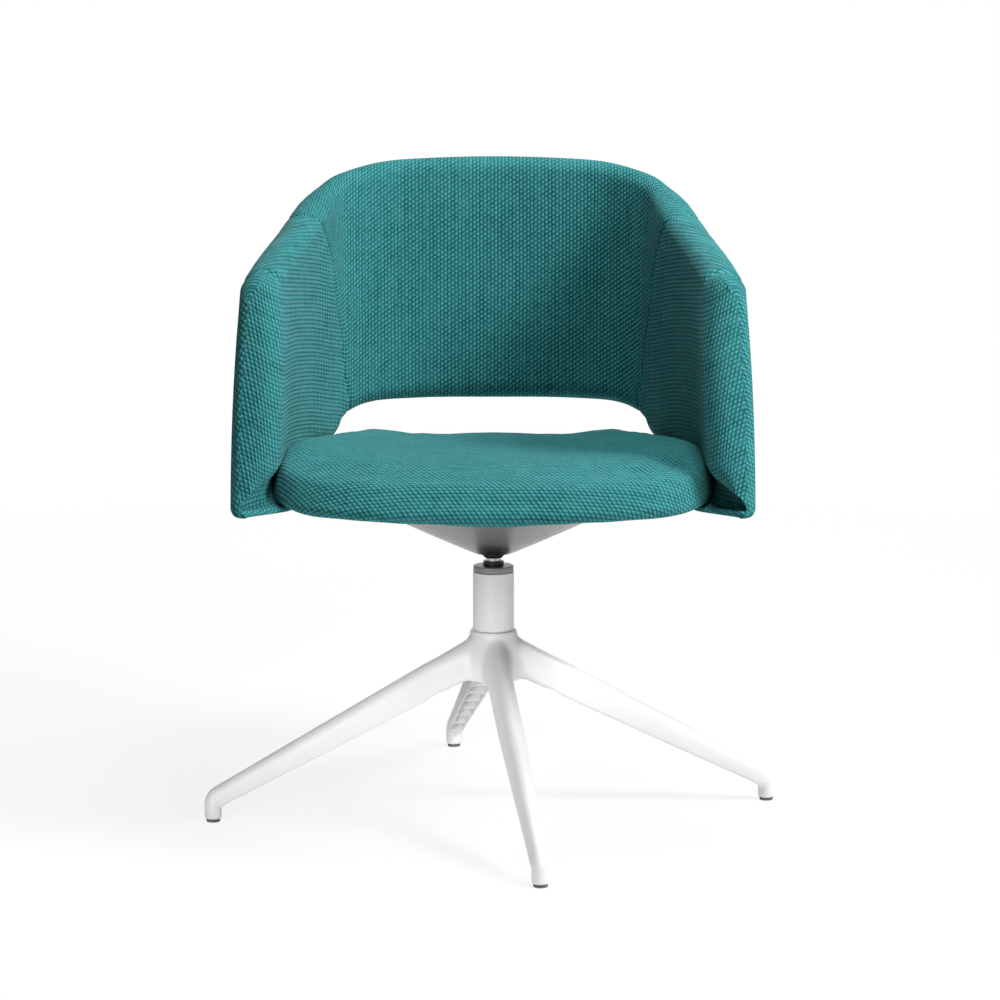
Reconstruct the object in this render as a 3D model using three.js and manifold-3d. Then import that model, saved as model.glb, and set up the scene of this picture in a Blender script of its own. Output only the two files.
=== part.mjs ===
// A pedestal swivel armchair: a wrap-round upholstered shell and a crowned seat on a steel
// spindle that turns in a fixed column, carried by a cast four-leg star base.
// Millimetres, +Z up, the chair faces -Y. The origin is on the floor, on the swivel axis.

import * as THREE from "three";
import * as BufferGeometryUtils from "three/addons/utils/BufferGeometryUtils.js";
import Module from "manifold-3d";

const wasm = await Module();
wasm.setup();

// Clearances shared by all pieces
const fitGap = 0.3;
const fabricThickness = 1.5;
const cutOverrun = 4;
const weldDistance = 1e-4;

// Facets round a turned piece
const largeFacets = 32;
const middleFacets = 24;
const smallFacets = 16;
const holeFacets = 10;
const screwFacets = 8;
const ballFacets = 6;
const ballRings = 4;
const cornerFacets = 4;

// Star base
const legCount = 4;
const baseTurn = THREE.MathUtils.degToRad(8.95);
const footCircleRadius = 345;
const footPostRadius = 10.5;
const hubTopHeight = 228;
const hubHeight = 63;
const hubRadius = 36;
const hubLipRadius = 28;
const hubEdgeRound = 3;
const legRootRadius = 22;
const legTopDrop = 5.5;
const legBottomDrop = 55;
const legTopAtFoot = 41.5;
const legBottomAtFoot = 15;
const legWidthAtHub = 36;
const legWidthAtMiddle = 29;
const kneeOuterRound = 24;
const kneeInnerRound = 7;
const legWall = 3.2;
const legRibThickness = 2.4;
const legPocketCount = 7;
const legPocketStart = 66;
const legPocketEnd = 326;
const legPocketRoof = 9;

// Glides under the feet
const glideRadius = 8;
const glideHeight = 3.4;
const glideEdge = 1;
const glideStemRadius = 4;
const glideStemLength = 16;

// Column
const columnRadius = 25;
const columnWall = 3;
const columnRise = 71.2;
const columnSocketDepth = 52;
const hubThroughRadius = 14;
const footPlateThickness = 5;
const capRadius = 24.5;
const capHeight = 7.5;
const capEdge = 1.5;
const capPlugLength = 16;
const upperBushFlangeRadius = 12.5;
const upperBushSleeveRadius = 11.8;
const upperBushFlangeHeight = 5.4;
const lowerBushHeight = 18;
const lowerBushLift = 14;

// Spindle and its thrust bearing
const spindleRadius = 9.25;
const spindleSetback = 13;
const stubRadius = 5.5;
const stubTail = 8;
const raceThickness = 2;
const raceRadius = 13;
const cageRadius = 12.4;
const cageThickness = 2.2;
const ballRadius = 2.2;
const ballCount = 9;
const washerRadius = 10;
const washerThickness = 1.6;
const ringRadius = 8;
const ringThickness = 1.4;
const grooveDepth = 1;

// Swivel plate and its cone cover
const collarRadius = 13.6;
const collarClearance = 3.8;
const collarTaper = 3;
const plateThickness = 4;
const plateSide = 170;
const plateCornerRadius = 16;
const plateBoltSpacing = 130;
const coneLift = 5.5;
const coneFlatRadius = 22;
const coneRimRadius = 160;
const coneSheet = 2;
const coneScrewInset = 9;
const coneScrewCount = 3;

// Seat
const seatBoardThickness = 12;
const seatFrontReach = 265;
const seatRearReach = 205;
const seatHalfWidth = 256;
const seatPadHeight = 44.2;
const seatRearDrop = 12;
const seatSideRise = 24;
const seatSideRiseFull = 80;
const seatSideRiseNone = 230;
const seatFrontDrop = 12;
const seatFrontDropStart = 120;
const seatLipDrop = 16;
const seatLipDropAtCorner = 6;
const seatLipStart = 207;
const seatLipEnd = 238;
const seatSideRound = 24;
const seatBoardInset = 13;
const coverFold = 20;

// Shell: the wall that wraps round the seat as arms and back
const shellHalfWidth = 277.5;
const shellFrontReach = 252;
const shellBackReach = 272;
const shellRise = 105.8;
const backEdgeRise = 78;
const armRimRise = 267;
const backRimRise = 385;
const armHalfThickness = 23;
const backHalfThickness = 16;
const armFootThickness = 8;
const armFootRound = 12;
const armPadLift = 50;
const rimRound = 18;
const backEdgeRound = 22;
const frontEdgeRound = 8;
const shellBulge = 2.5;
const frameThickness = 4.4;
const frameRimSetback = 20;
const frameFrontSetback = 14;
const flangeThickness = 4.4;
const flangeRootReach = 16;
const flangeReach = 88;
const flangeCoverReach = 27;
const foamCutEnd = 100;
const foamCutLift = 12;

// Screws and nuts
const boltRadius = 4;
const boltHeadRadius = 6.5;
const boltHeadHeight = 4.2;
const boltHoleRadius = 4.4;
const nutBarrelRadius = 5.2;
const nutFlangeRadius = 9.5;
const nutFlangeThickness = 1.4;
const screwRadius = 3;
const screwHeadRadius = 5.8;
const screwHeadHeight = 3;
const screwHoleRadius = 3.4;
const screwInset = 44;
const smallScrewRadius = 1.9;
const smallScrewHeadRadius = 4;
const smallScrewHeadHeight = 2.2;
const smallScrewLength = 10;

// Surfaces
const paintedWhite = { color: 0xe9e9ea, roughness: 0.42, metalness: 0.0 };
const greyPlastic = { color: 0x5d5f61, roughness: 0.5, metalness: 0.0 };
const blackPlastic = { color: 0x16181a, roughness: 0.42, metalness: 0.0 };
const blackSteel = { color: 0x1d1f21, roughness: 0.45, metalness: 0.6 };
const brightSteel = { color: 0xc3c5c8, roughness: 0.24, metalness: 1.0 };
const satinAluminium = { color: 0xb9bbbd, roughness: 0.3, metalness: 1.0 };
const plywood = { color: 0xc9a877, roughness: 0.65, metalness: 0.0 };
const foam = { color: 0xe6dfc6, roughness: 0.95, metalness: 0.0 };
const tealWeave = { color: 0x2f8482, roughness: 0.92, metalness: 0.0 };

// Heights from the hub up: each piece stands on the one below
const hubBottomHeight = hubTopHeight - hubHeight;
const legTopAtHub = hubTopHeight - legTopDrop;
const legBottomAtHub = hubTopHeight - legBottomDrop;
const columnSeatHeight = hubTopHeight - columnSocketDepth;
const columnTopHeight = hubTopHeight + columnRise;
const capLow = columnTopHeight + fitGap;
const capTop = capLow + capHeight;
const upperBushTop = capTop + fitGap + upperBushFlangeHeight;
const collarBottomHeight = upperBushTop + collarClearance;
const coneBottomHeight = collarBottomHeight + coneLift;
const armFootHeight = columnTopHeight + shellRise;

// The shell's flange lies under the seat board, with the fold of the seat cover between them
const skin = fabricThickness + fitGap;
const flangeLow = armFootHeight + skin;
const flangeTop = flangeLow + flangeThickness;
const seatEdgeHeight = flangeTop + fitGap;
const seatBoardHeight = seatEdgeHeight + skin;
const seatCrownHeight = seatBoardHeight + seatPadHeight;

// The swivel plate bears on the seat board, and the spindle ends a setback below the plate
const plateTop = seatBoardHeight - fitGap;
const plateLow = plateTop - plateThickness;
const spindleTopHeight = plateLow - spindleSetback;

const chair = new THREE.Group();

// Closed solids

function closeGeometry(geometry) {
  const bare = new THREE.BufferGeometry();
  bare.setAttribute("position", geometry.getAttribute("position").clone());
  if (geometry.index) {
    bare.setIndex(geometry.index.clone());
  }
  const merged = BufferGeometryUtils.mergeVertices(bare, weldDistance);
  const corners = merged.index.array;
  const kept = [];
  for (let i = 0; i < corners.length; i += 3) {
    const [a, b, c] = [corners[i], corners[i + 1], corners[i + 2]];
    if (a !== b && b !== c && c !== a) {
      kept.push(a, b, c);
    }
  }
  merged.setIndex(kept);
  return signedVolume(merged) < 0 ? flipFaces(merged) : merged;
}

function signedVolume(geometry) {
  const place = geometry.getAttribute("position");
  const corners = geometry.index.array;
  const [a, b, c] = [new THREE.Vector3(), new THREE.Vector3(), new THREE.Vector3()];
  let total = 0;
  for (let i = 0; i < corners.length; i += 3) {
    a.fromBufferAttribute(place, corners[i]);
    b.fromBufferAttribute(place, corners[i + 1]);
    c.fromBufferAttribute(place, corners[i + 2]);
    total += a.dot(b.cross(c)) / 6;
  }
  return total;
}

function flipFaces(geometry) {
  const corners = Array.from(geometry.index.array);
  for (let i = 0; i < corners.length; i += 3) {
    [corners[i + 1], corners[i + 2]] = [corners[i + 2], corners[i + 1]];
  }
  geometry.setIndex(corners);
  return geometry;
}

function solidOf(geometry) {
  const closed = closeGeometry(geometry);
  const vertProperties = new Float32Array(closed.getAttribute("position").array);
  const triVerts = new Uint32Array(closed.index.array);
  return new wasm.Manifold(new wasm.Mesh({ numProp: 3, vertProperties, triVerts }));
}

function geometryOf(solid) {
  const mesh = solid.getMesh();
  const geometry = new THREE.BufferGeometry();
  const places = new Float32Array(mesh.numVert * 3);
  for (let i = 0; i < mesh.numVert; i += 1) {
    places.set(mesh.vertProperties.subarray(i * mesh.numProp, i * mesh.numProp + 3), i * 3);
  }
  geometry.setAttribute("position", new THREE.BufferAttribute(places, 3));
  geometry.setIndex(Array.from(mesh.triVerts));
  return geometry;
}

function addPiece(name, geometry, surface) {
  const mesh = new THREE.Mesh(geometry, new THREE.MeshStandardMaterial(surface));
  mesh.geometry.computeVertexNormals();
  mesh.name = name;
  chair.add(mesh);
  return mesh;
}

// Turned piece: [radius, height] points that close on themselves or start and end on the axis
function turned(outline, segments) {
  const points = outline.map(([radius, height]) => new THREE.Vector2(radius, height));
  const lathe = new THREE.LatheGeometry(points, segments);
  lathe.rotateX(Math.PI / 2);
  return closeGeometry(lathe);
}

function ringOutline(innerRadius, outerRadius, low, high) {
  return [
    [innerRadius, low],
    [outerRadius, low],
    [outerRadius, high],
    [innerRadius, high],
    [innerRadius, low],
  ];
}

function upright(radius, low, high, segments) {
  return turned([[0, low], [radius, low], [radius, high], [0, high]], segments);
}

// Loft: rings of equally many points, with both ends closed flat
function loft(rings) {
  const count = rings[0].length;
  const places = [];
  const corners = [];
  rings.forEach((ring) => ring.forEach((point) => places.push(point.x, point.y, point.z)));
  for (let row = 0; row + 1 < rings.length; row += 1) {
    for (let column = 0; column < count; column += 1) {
      const next = (column + 1) % count;
      const [a, b] = [row * count + column, row * count + next];
      const [c, d] = [a + count, b + count];
      corners.push(a, b, d, a, d, c);
    }
  }
  const lastRow = (rings.length - 1) * count;
  capFaces(rings[0]).forEach(([a, b, c]) => corners.push(a, c, b));
  capFaces(rings[rings.length - 1]).forEach(([a, b, c]) => {
    corners.push(lastRow + a, lastRow + b, lastRow + c);
  });
  const geometry = new THREE.BufferGeometry();
  geometry.setAttribute("position", new THREE.Float32BufferAttribute(places, 3));
  geometry.setIndex(corners);
  return closeGeometry(geometry);
}

// Triangles that close a flat ring, with the corner order of the ring itself
function capFaces(ring) {
  const normal = new THREE.Vector3();
  ring.forEach((point, i) => normal.add(point.clone().cross(ring[(i + 1) % ring.length])));
  normal.normalize();
  const across = ring[1].clone().sub(ring[0]);
  across.addScaledVector(normal, -across.dot(normal)).normalize();
  const up = normal.clone().cross(across);
  const flat = ring.map((point) => new THREE.Vector2(point.dot(across), point.dot(up)));
  return THREE.ShapeUtils.triangulateShape(flat, []);
}

function slab(shape, low, high, curveSegments = 1) {
  const plate = new THREE.ExtrudeGeometry(shape, {
    depth: high - low,
    bevelEnabled: false,
    curveSegments,
  });
  plate.translate(0, 0, low);
  return closeGeometry(plate);
}

function mix(from, to, share) {
  return from + (to - from) * share;
}

function smooth(value, start, end) {
  return THREE.MathUtils.smoothstep(value, start, end);
}

// Star base

const postOuter = footCircleRadius + footPostRadius;
const postInner = footCircleRadius - footPostRadius;
const legRun = footCircleRadius - legRootRadius;

function legTop(radius) {
  return mix(legTopAtHub, legTopAtFoot, (radius - legRootRadius) / legRun);
}

function legBottom(radius) {
  return mix(legBottomAtHub, legBottomAtFoot, (radius - legRootRadius) / legRun);
}

// Start and end of each change of width along the leg
const legWaistShares = [-0.2, 0.35];
const legTaperShares = [0.3, 1];

function legHalfWidth(radius) {
  const share = (radius - legRootRadius) / legRun;
  const outward = mix(legWidthAtMiddle / 2, footPostRadius, smooth(share, ...legTaperShares));
  return mix(legWidthAtHub / 2, outward, smooth(share, ...legWaistShares));
}

// Arch section: shares of half the width and half the depth, ridge in the middle
const archShares = [
  [-1, -1],
  [-1, -0.35],
  [-0.93, 0.2],
  [-0.7, 0.66],
  [-0.36, 0.9],
  [0, 1],
  [0.36, 0.9],
  [0.7, 0.66],
  [0.93, 0.2],
  [1, -0.35],
  [1, -1],
  [0, -1],
];

// The round post section, with as many points at the angles of the arch's points
const postAngleShares = [225, 195, 165, 138, 113, 90, 67, 42, 15, -15, -45, -90].map(
  (degrees) => THREE.MathUtils.degToRad(degrees),
);

function legRing(low, high, halfWidth, roundness) {
  const middle = low.clone().add(high).multiplyScalar(0.5);
  const up = high.clone().sub(middle);
  return archShares.map(([acrossShare, upShare], i) => {
    const across = mix(acrossShare, Math.cos(postAngleShares[i]), roundness) * halfWidth;
    const lift = mix(upShare, Math.sin(postAngleShares[i]), roundness);
    return new THREE.Vector3(middle.x + up.x * lift, across, middle.z + up.z * lift);
  });
}

const legRingShares = [0, 0.12, 0.3, 0.52, 0.76, 0.93];
const kneeRoundingShares = [0.2, 1];
const kneeSteps = 4;

function legSolid() {
  const rings = [];
  legRingShares.forEach((share) => {
    const radius = legRootRadius + legRun * share;
    const low = new THREE.Vector3(radius, 0, legBottom(radius));
    const high = new THREE.Vector3(radius, 0, legTop(radius));
    rings.push(legRing(low, high, legHalfWidth(radius), 0));
  });
  const topSlope = Math.atan2(legTopAtHub - legTopAtFoot, legRun);
  const bottomSlope = Math.atan2(legBottomAtHub - legBottomAtFoot, legRun);
  for (let step = 0; step <= kneeSteps; step += 1) {
    const share = step / kneeSteps;
    const high = kneePoint(postOuter, kneeOuterRound, topSlope, legTop, share);
    const low = kneePoint(postInner, kneeInnerRound, bottomSlope, legBottom, share);
    const halfWidth = mix(legHalfWidth(postInner), footPostRadius, share);
    rings.push(legRing(low, high, halfWidth, smooth(share, ...kneeRoundingShares)));
  }
  const postBottom = glideHeight + fitGap;
  rings.push(
    legRing(
      new THREE.Vector3(postInner, 0, postBottom),
      new THREE.Vector3(postOuter, 0, postBottom),
      footPostRadius,
      1,
    ),
  );
  return solidOf(loft(rings));
}

// Point on the arc that joins a sloping leg line to the upright side of the post
function kneePoint(postSide, round, slope, line, share) {
  const angle = mix(slope, Math.PI / 2, share);
  const centreRadius = postSide - round;
  const tangentRadius = centreRadius + round * Math.sin(slope);
  const centreHeight = line(tangentRadius) - round * Math.cos(slope);
  return new THREE.Vector3(
    centreRadius + round * Math.sin(angle),
    0,
    centreHeight + round * Math.cos(angle),
  );
}

const pocketShoulderShare = 0.72;

// Pocket under a leg, between two of its cross ribs
function legPocket(start, end) {
  const rings = [start, end].map((radius) => {
    const halfWidth = legHalfWidth(radius) - legWall;
    const roof = legTop(radius) - legPocketRoof;
    const floor = legBottom(radius) - cutOverrun;
    const shoulder = mix(floor, roof, pocketShoulderShare);
    return [
      new THREE.Vector3(radius, -halfWidth, floor),
      new THREE.Vector3(radius, -halfWidth, shoulder),
      new THREE.Vector3(radius, -halfWidth / 2, roof),
      new THREE.Vector3(radius, halfWidth / 2, roof),
      new THREE.Vector3(radius, halfWidth, shoulder),
      new THREE.Vector3(radius, halfWidth, floor),
    ];
  });
  return solidOf(loft(rings));
}

// Hub profile above the lower edge: share of the way from lip neck to full radius, and height
const hubProfileShares = [
  [1, 0.4],
  [0.55, 0.68],
  [0, 0.86],
];

function hubSolid() {
  const lipNeck = hubLipRadius + hubEdgeRound / 2;
  const outline = [
    [0, hubBottomHeight],
    [hubRadius - hubEdgeRound, hubBottomHeight],
    [hubRadius, hubBottomHeight + hubEdgeRound],
    ...hubProfileShares.map(([radiusShare, heightShare]) => [
      mix(lipNeck, hubRadius, radiusShare),
      mix(hubBottomHeight, hubTopHeight, heightShare),
    ]),
    [hubLipRadius, hubTopHeight - hubEdgeRound],
    [hubLipRadius - hubEdgeRound / 3, hubTopHeight],
    [0, hubTopHeight],
  ];
  return solidOf(turned(outline, largeFacets));
}

function legTurn(index) {
  return THREE.MathUtils.radToDeg(baseTurn + (2 * Math.PI * index) / legCount);
}

function makeStarBase() {
  let base = hubSolid();
  const leg = legSolid();
  const pocketPitch = (legPocketEnd - legPocketStart) / legPocketCount;
  for (let i = 0; i < legCount; i += 1) {
    base = base.add(leg.rotate([0, 0, legTurn(i)]));
  }
  for (let i = 0; i < legCount; i += 1) {
    const turn = legTurn(i);
    for (let k = 0; k < legPocketCount; k += 1) {
      const start = legPocketStart + pocketPitch * k + legRibThickness / 2;
      const end = start + pocketPitch - legRibThickness;
      base = base.subtract(legPocket(start, end).rotate([0, 0, turn]));
    }
    const socketTop = glideHeight + glideStemLength + glideEdge;
    const socket = upright(glideStemRadius + fitGap, 0, socketTop, smallFacets);
    socket.translate(footCircleRadius, 0, 0);
    base = base.subtract(solidOf(socket).rotate([0, 0, turn]));
  }
  const boreTop = hubTopHeight + cutOverrun;
  const bore = upright(columnRadius + fitGap, columnSeatHeight, boreTop, largeFacets);
  const throughLow = hubBottomHeight - cutOverrun;
  const through = upright(hubThroughRadius, throughLow, hubTopHeight, middleFacets);
  base = base.subtract(solidOf(bore)).subtract(solidOf(through));
  addPiece("star_base", geometryOf(base), paintedWhite);
}

function makeGlides() {
  const stemTop = glideHeight + glideStemLength;
  for (let i = 0; i < legCount; i += 1) {
    const glide = turned(
      [
        [0, 0],
        [glideRadius - glideEdge, 0],
        [glideRadius, glideEdge],
        [glideRadius, glideHeight],
        [glideStemRadius, glideHeight],
        [glideStemRadius, stemTop - glideEdge],
        [glideStemRadius - glideEdge, stemTop],
        [0, stemTop],
      ],
      smallFacets,
    );
    const angle = baseTurn + (2 * Math.PI * i) / legCount;
    const mesh = addPiece(`glide_${i + 1}`, glide, greyPlastic);
    mesh.position.set(
      footCircleRadius * Math.cos(angle),
      footCircleRadius * Math.sin(angle),
      0,
    );
  }
}

// Column, its bearing and the spindle

const columnBottom = columnSeatHeight + fitGap;
const columnBore = columnRadius - columnWall;
const insertRadius = columnBore - fitGap;
const footPlateTop = columnBottom + footPlateThickness;
const lowerRaceLow = footPlateTop + fitGap;
const lowerRaceTop = lowerRaceLow + raceThickness;
const ballHeight = lowerRaceTop + fitGap + ballRadius;
const upperRaceLow = ballHeight + ballRadius + fitGap;
const upperRaceTop = upperRaceLow + raceThickness;
const spindleShoulder = upperRaceTop + fitGap;
const stubHole = stubRadius + fitGap;
const spindleHole = spindleRadius + fitGap;
const washerTop = columnBottom - fitGap;
const washerLow = washerTop - washerThickness;
const ringTop = washerLow - fitGap;
const ringLow = ringTop - ringThickness;

function makeColumn() {
  const tube = turned(
    ringOutline(columnBore, columnRadius, columnBottom, columnTopHeight),
    largeFacets,
  );
  addPiece("column_tube", tube, paintedWhite);
  const footRing = ringOutline(stubHole, insertRadius, columnBottom, footPlateTop);
  addPiece("column_foot_plate", turned(footRing, middleFacets), blackSteel);
  const capHole = upperBushSleeveRadius + fitGap;
  const cap = turned(
    [
      [capHole, columnTopHeight - capPlugLength],
      [insertRadius, columnTopHeight - capPlugLength],
      [insertRadius, capLow],
      [capRadius, capLow],
      [capRadius, capTop - capEdge],
      [capRadius - capEdge / 3, capTop - capEdge / 3],
      [capRadius - capEdge, capTop],
      [capHole, capTop],
      [capHole, columnTopHeight - capPlugLength],
    ],
    largeFacets,
  );
  addPiece("column_cap", cap, greyPlastic);
  const bushFlangeLow = capTop + fitGap;
  const upperBush = turned(
    [
      [spindleHole, columnTopHeight - capPlugLength],
      [upperBushSleeveRadius, columnTopHeight - capPlugLength],
      [upperBushSleeveRadius, bushFlangeLow],
      [upperBushFlangeRadius, bushFlangeLow],
      [upperBushFlangeRadius, upperBushTop - fitGap],
      [upperBushFlangeRadius - fitGap, upperBushTop],
      [spindleHole, upperBushTop],
      [spindleHole, columnTopHeight - capPlugLength],
    ],
    middleFacets,
  );
  addPiece("upper_bush", upperBush, blackPlastic);
  const lowerBushLow = spindleShoulder + lowerBushLift;
  const lowerBush = turned(
    ringOutline(spindleHole, insertRadius, lowerBushLow, lowerBushLow + lowerBushHeight),
    middleFacets,
  );
  addPiece("lower_bush", lowerBush, blackPlastic);
}

function makeBearing() {
  const lower = ringOutline(stubHole, raceRadius, lowerRaceLow, lowerRaceTop);
  const upper = ringOutline(stubHole, raceRadius, upperRaceLow, upperRaceTop);
  addPiece("bearing_lower_race", turned(lower, middleFacets), brightSteel);
  addPiece("bearing_upper_race", turned(upper, middleFacets), brightSteel);
  const cageLow = ballHeight - cageThickness / 2;
  const cageHole = stubHole + fitGap;
  const cageRing = ringOutline(cageHole, cageRadius, cageLow, cageLow + cageThickness);
  let cage = solidOf(turned(cageRing, middleFacets));
  const ballCircle = (cageHole + cageRadius) / 2;
  for (let i = 0; i < ballCount; i += 1) {
    const angle = (2 * Math.PI * i) / ballCount;
    const ball = new THREE.SphereGeometry(ballRadius, ballFacets, ballRings);
    ball.rotateX(Math.PI / 2);
    ball.translate(ballCircle * Math.cos(angle), ballCircle * Math.sin(angle), ballHeight);
    cage = cage.add(solidOf(ball));
  }
  addPiece("bearing_ball_cage", geometryOf(cage), brightSteel);
}

function makeSpindle() {
  const stubEnd = ringLow - stubTail / 2;
  const grooveRadius = stubRadius - grooveDepth;
  const spindle = turned(
    [
      [0, stubEnd],
      [stubRadius, stubEnd],
      [stubRadius, ringLow - fitGap],
      [grooveRadius, ringLow - fitGap],
      [grooveRadius, ringTop + fitGap],
      [stubRadius, ringTop + fitGap],
      [stubRadius, spindleShoulder],
      [spindleRadius, spindleShoulder],
      [spindleRadius, spindleTopHeight],
      [0, spindleTopHeight],
    ],
    middleFacets,
  );
  addPiece("spindle", spindle, brightSteel);
  const washer = ringOutline(stubHole, washerRadius, washerLow, washerTop);
  addPiece("spindle_washer", turned(washer, smallFacets), brightSteel);
  const ring = ringOutline(grooveRadius + fitGap, ringRadius, ringLow, ringTop);
  addPiece("retaining_ring", turned(ring, smallFacets), blackSteel);
}

// Swivel plate with its collar, under the seat board

function fourCorners(spacing) {
  const half = spacing / 2;
  return [[half, half], [-half, half], [-half, -half], [half, -half]];
}

function roundedSquare(side, radius) {
  const half = side / 2;
  const inner = half - radius;
  const shape = new THREE.Shape();
  shape.absarc(inner, inner, radius, 0, Math.PI / 2);
  shape.absarc(-inner, inner, radius, Math.PI / 2, Math.PI);
  shape.absarc(-inner, -inner, radius, Math.PI, 1.5 * Math.PI);
  shape.absarc(inner, -inner, radius, 1.5 * Math.PI, 2 * Math.PI);
  shape.closePath();
  return shape;
}

function holeAt(radius, x, y, low, high) {
  const hole = upright(radius, low, high, holeFacets);
  hole.translate(x, y, 0);
  return solidOf(hole);
}

function makeSwivelPlate() {
  const plateOutline = roundedSquare(plateSide, plateCornerRadius);
  let plate = solidOf(slab(plateOutline, plateLow, plateTop, cornerFacets));
  const collarTop = plateLow + plateThickness / 2;
  const collar = turned(
    [
      [0, collarBottomHeight],
      [collarRadius - collarTaper, collarBottomHeight],
      [collarRadius, collarBottomHeight + collarTaper],
      [collarRadius, collarTop],
      [0, collarTop],
    ],
    middleFacets,
  );
  const socketTop = spindleTopHeight + fitGap;
  const socket = upright(spindleHole, collarBottomHeight - cutOverrun, socketTop, middleFacets);
  plate = plate.add(solidOf(collar)).subtract(solidOf(socket));
  fourCorners(plateBoltSpacing).forEach(([x, y]) => {
    plate = plate.subtract(
      holeAt(boltHoleRadius, x, y, plateLow - cutOverrun, plateTop + cutOverrun),
    );
  });
  addPiece("swivel_plate", geometryOf(plate), blackSteel);
}

// Cone line from the collar to the rim: share of the run, and share of the rise
const coneLineShares = [
  [0, 0],
  [0.3, 0.205],
  [0.64, 0.45],
  [0.86, 0.61],
  [0.96, 0.69],
  [1, 0.8],
];

// The cone cover is spun sheet: an outer line and the same line one sheet thickness inside
function makeConeCover() {
  const rimTop = plateTop;
  const bore = collarRadius + fitGap;
  const run = coneRimRadius - coneFlatRadius;
  const rise = rimTop - coneBottomHeight;
  const outer = coneLineShares.map(([runShare, riseShare]) => [
    coneFlatRadius + run * runShare,
    coneBottomHeight + rise * riseShare,
  ]);
  const inner = outer.map(([radius, height], i) => {
    const upShare = i / (outer.length - 1);
    return [radius - coneSheet * upShare, height + coneSheet * (1 - upShare)];
  });
  const rimInner = coneRimRadius - 2 * coneScrewInset;
  const outline = [
    [bore, coneBottomHeight],
    ...outer,
    [coneRimRadius, rimTop],
    [rimInner, rimTop],
    [rimInner, rimTop - coneSheet],
    [coneRimRadius - coneSheet, rimTop - coneSheet],
    ...inner.slice().reverse(),
    [bore, coneBottomHeight + coneSheet],
    [bore, coneBottomHeight],
  ];
  let cover = solidOf(turned(outline, largeFacets));
  const holeRadius = smallScrewRadius + fitGap;
  const holeLow = rimTop - coneSheet - cutOverrun;
  coneScrewPlaces().forEach(([x, y], i) => {
    cover = cover.subtract(holeAt(holeRadius, x, y, holeLow, rimTop + cutOverrun));
    makeScrew(`cover_screw_${i + 1}`, x, y, {
      seat: rimTop - coneSheet - fitGap,
      radius: smallScrewRadius,
      headRadius: smallScrewHeadRadius,
      headHeight: smallScrewHeadHeight,
      length: smallScrewLength,
    });
  });
  addPiece("cone_cover", geometryOf(cover), satinAluminium);
}

function coneScrewPlaces() {
  const circle = coneRimRadius - coneScrewInset;
  const places = [];
  for (let i = 0; i < coneScrewCount; i += 1) {
    const angle = (2 * Math.PI * i) / coneScrewCount - Math.PI / 2;
    places.push([circle * Math.cos(angle), circle * Math.sin(angle)]);
  }
  return places;
}

// Head profile of a screw: share of the head's radius, and share of its height below the seat
const screwHeadShares = [
  [0, 0.5],
  [0.4, 0.5],
  [0.4, 1],
  [0.8, 1],
  [1, 0.65],
  [1, 0],
];

// Upright screw with its head down: seat is the height of the head's bearing face
function makeScrew(name, x, y, { seat, radius, headRadius, headHeight, length }) {
  const head = screwHeadShares.map(([radiusShare, dropShare]) => [
    headRadius * radiusShare,
    seat - headHeight * dropShare,
  ]);
  const shank = [[radius, seat], [radius, seat + length], [0, seat + length]];
  const mesh = addPiece(name, turned([...head, ...shank], screwFacets), brightSteel);
  mesh.position.set(x, y, 0);
}

// Seat form: plan outline and crowned profile, shared by board, foam and cover

// Half outline from the front middle to the rear middle, as shares of the half width and of
// the reach forward or back
const seatOutlineShares = [
  [0, -1],
  [0.3, -0.993],
  [0.58, -0.966],
  [0.79, -0.908],
  [0.92, -0.82],
  [0.99, -0.69],
  [1, -0.5],
  [0.972, -0.25],
  [0.922, 0],
  [0.872, 0.25],
  [0.811, 0.5],
  [0.731, 0.73],
  [0.604, 0.89],
  [0.331, 0.975],
  [0, 1],
];

function seatOutline(inset) {
  const half = seatOutlineShares.map(([xShare, yShare]) => {
    const reach = yShare < 0 ? seatFrontReach : seatRearReach;
    return new THREE.Vector2(xShare * seatHalfWidth, yShare * reach);
  });
  const mirrored = half.slice(1, -1).reverse();
  const ring = half.concat(mirrored.map((point) => new THREE.Vector2(-point.x, point.y)));
  return ring.map((point, i) => {
    const before = ring[(i + ring.length - 1) % ring.length];
    const after = ring[(i + 1) % ring.length];
    const along = after.clone().sub(before).normalize();
    return new THREE.Vector2(point.x - along.y * inset, point.y + along.x * inset);
  });
}

const seatSideRisePower = 2.5;

function seatTop(x, y) {
  const reach = seatFrontReach + seatRearReach;
  const rearShare = THREE.MathUtils.clamp((y + seatFrontReach) / reach, 0, 1);
  const sideShare = Math.pow(Math.abs(x) / seatHalfWidth, seatSideRisePower);
  const sideRise = seatSideRise * sideShare * (1 - smooth(-y, seatSideRiseFull, seatSideRiseNone));
  const frontDrop = seatFrontDrop * Math.pow(smooth(-y, seatFrontDropStart, seatFrontReach), 2);
  return seatCrownHeight - seatRearDrop * rearShare + sideRise - frontDrop;
}

// How far the lower edge of the cushion hangs below the board at the front lip
function seatLip(x, y) {
  const deep = mix(seatLipDrop, seatLipDropAtCorner, Math.min(1, Math.abs(x) / seatHalfWidth));
  return deep * smooth(-y, seatLipStart, seatLipEnd);
}

// Profile rings from the bottom up: inset from the outline, and share of the side height
const seatSideShares = [
  [0.24, 0],
  [0.05, 0.1],
  [0, 0.3],
  [0.25, 0.56],
  [0.5, 0.8],
  [0.76, 0.95],
];

// Rings across the top: share of the way from the shoulder to the middle
const seatTopShares = [0.04, 0.18, 0.4, 0.68];

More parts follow.
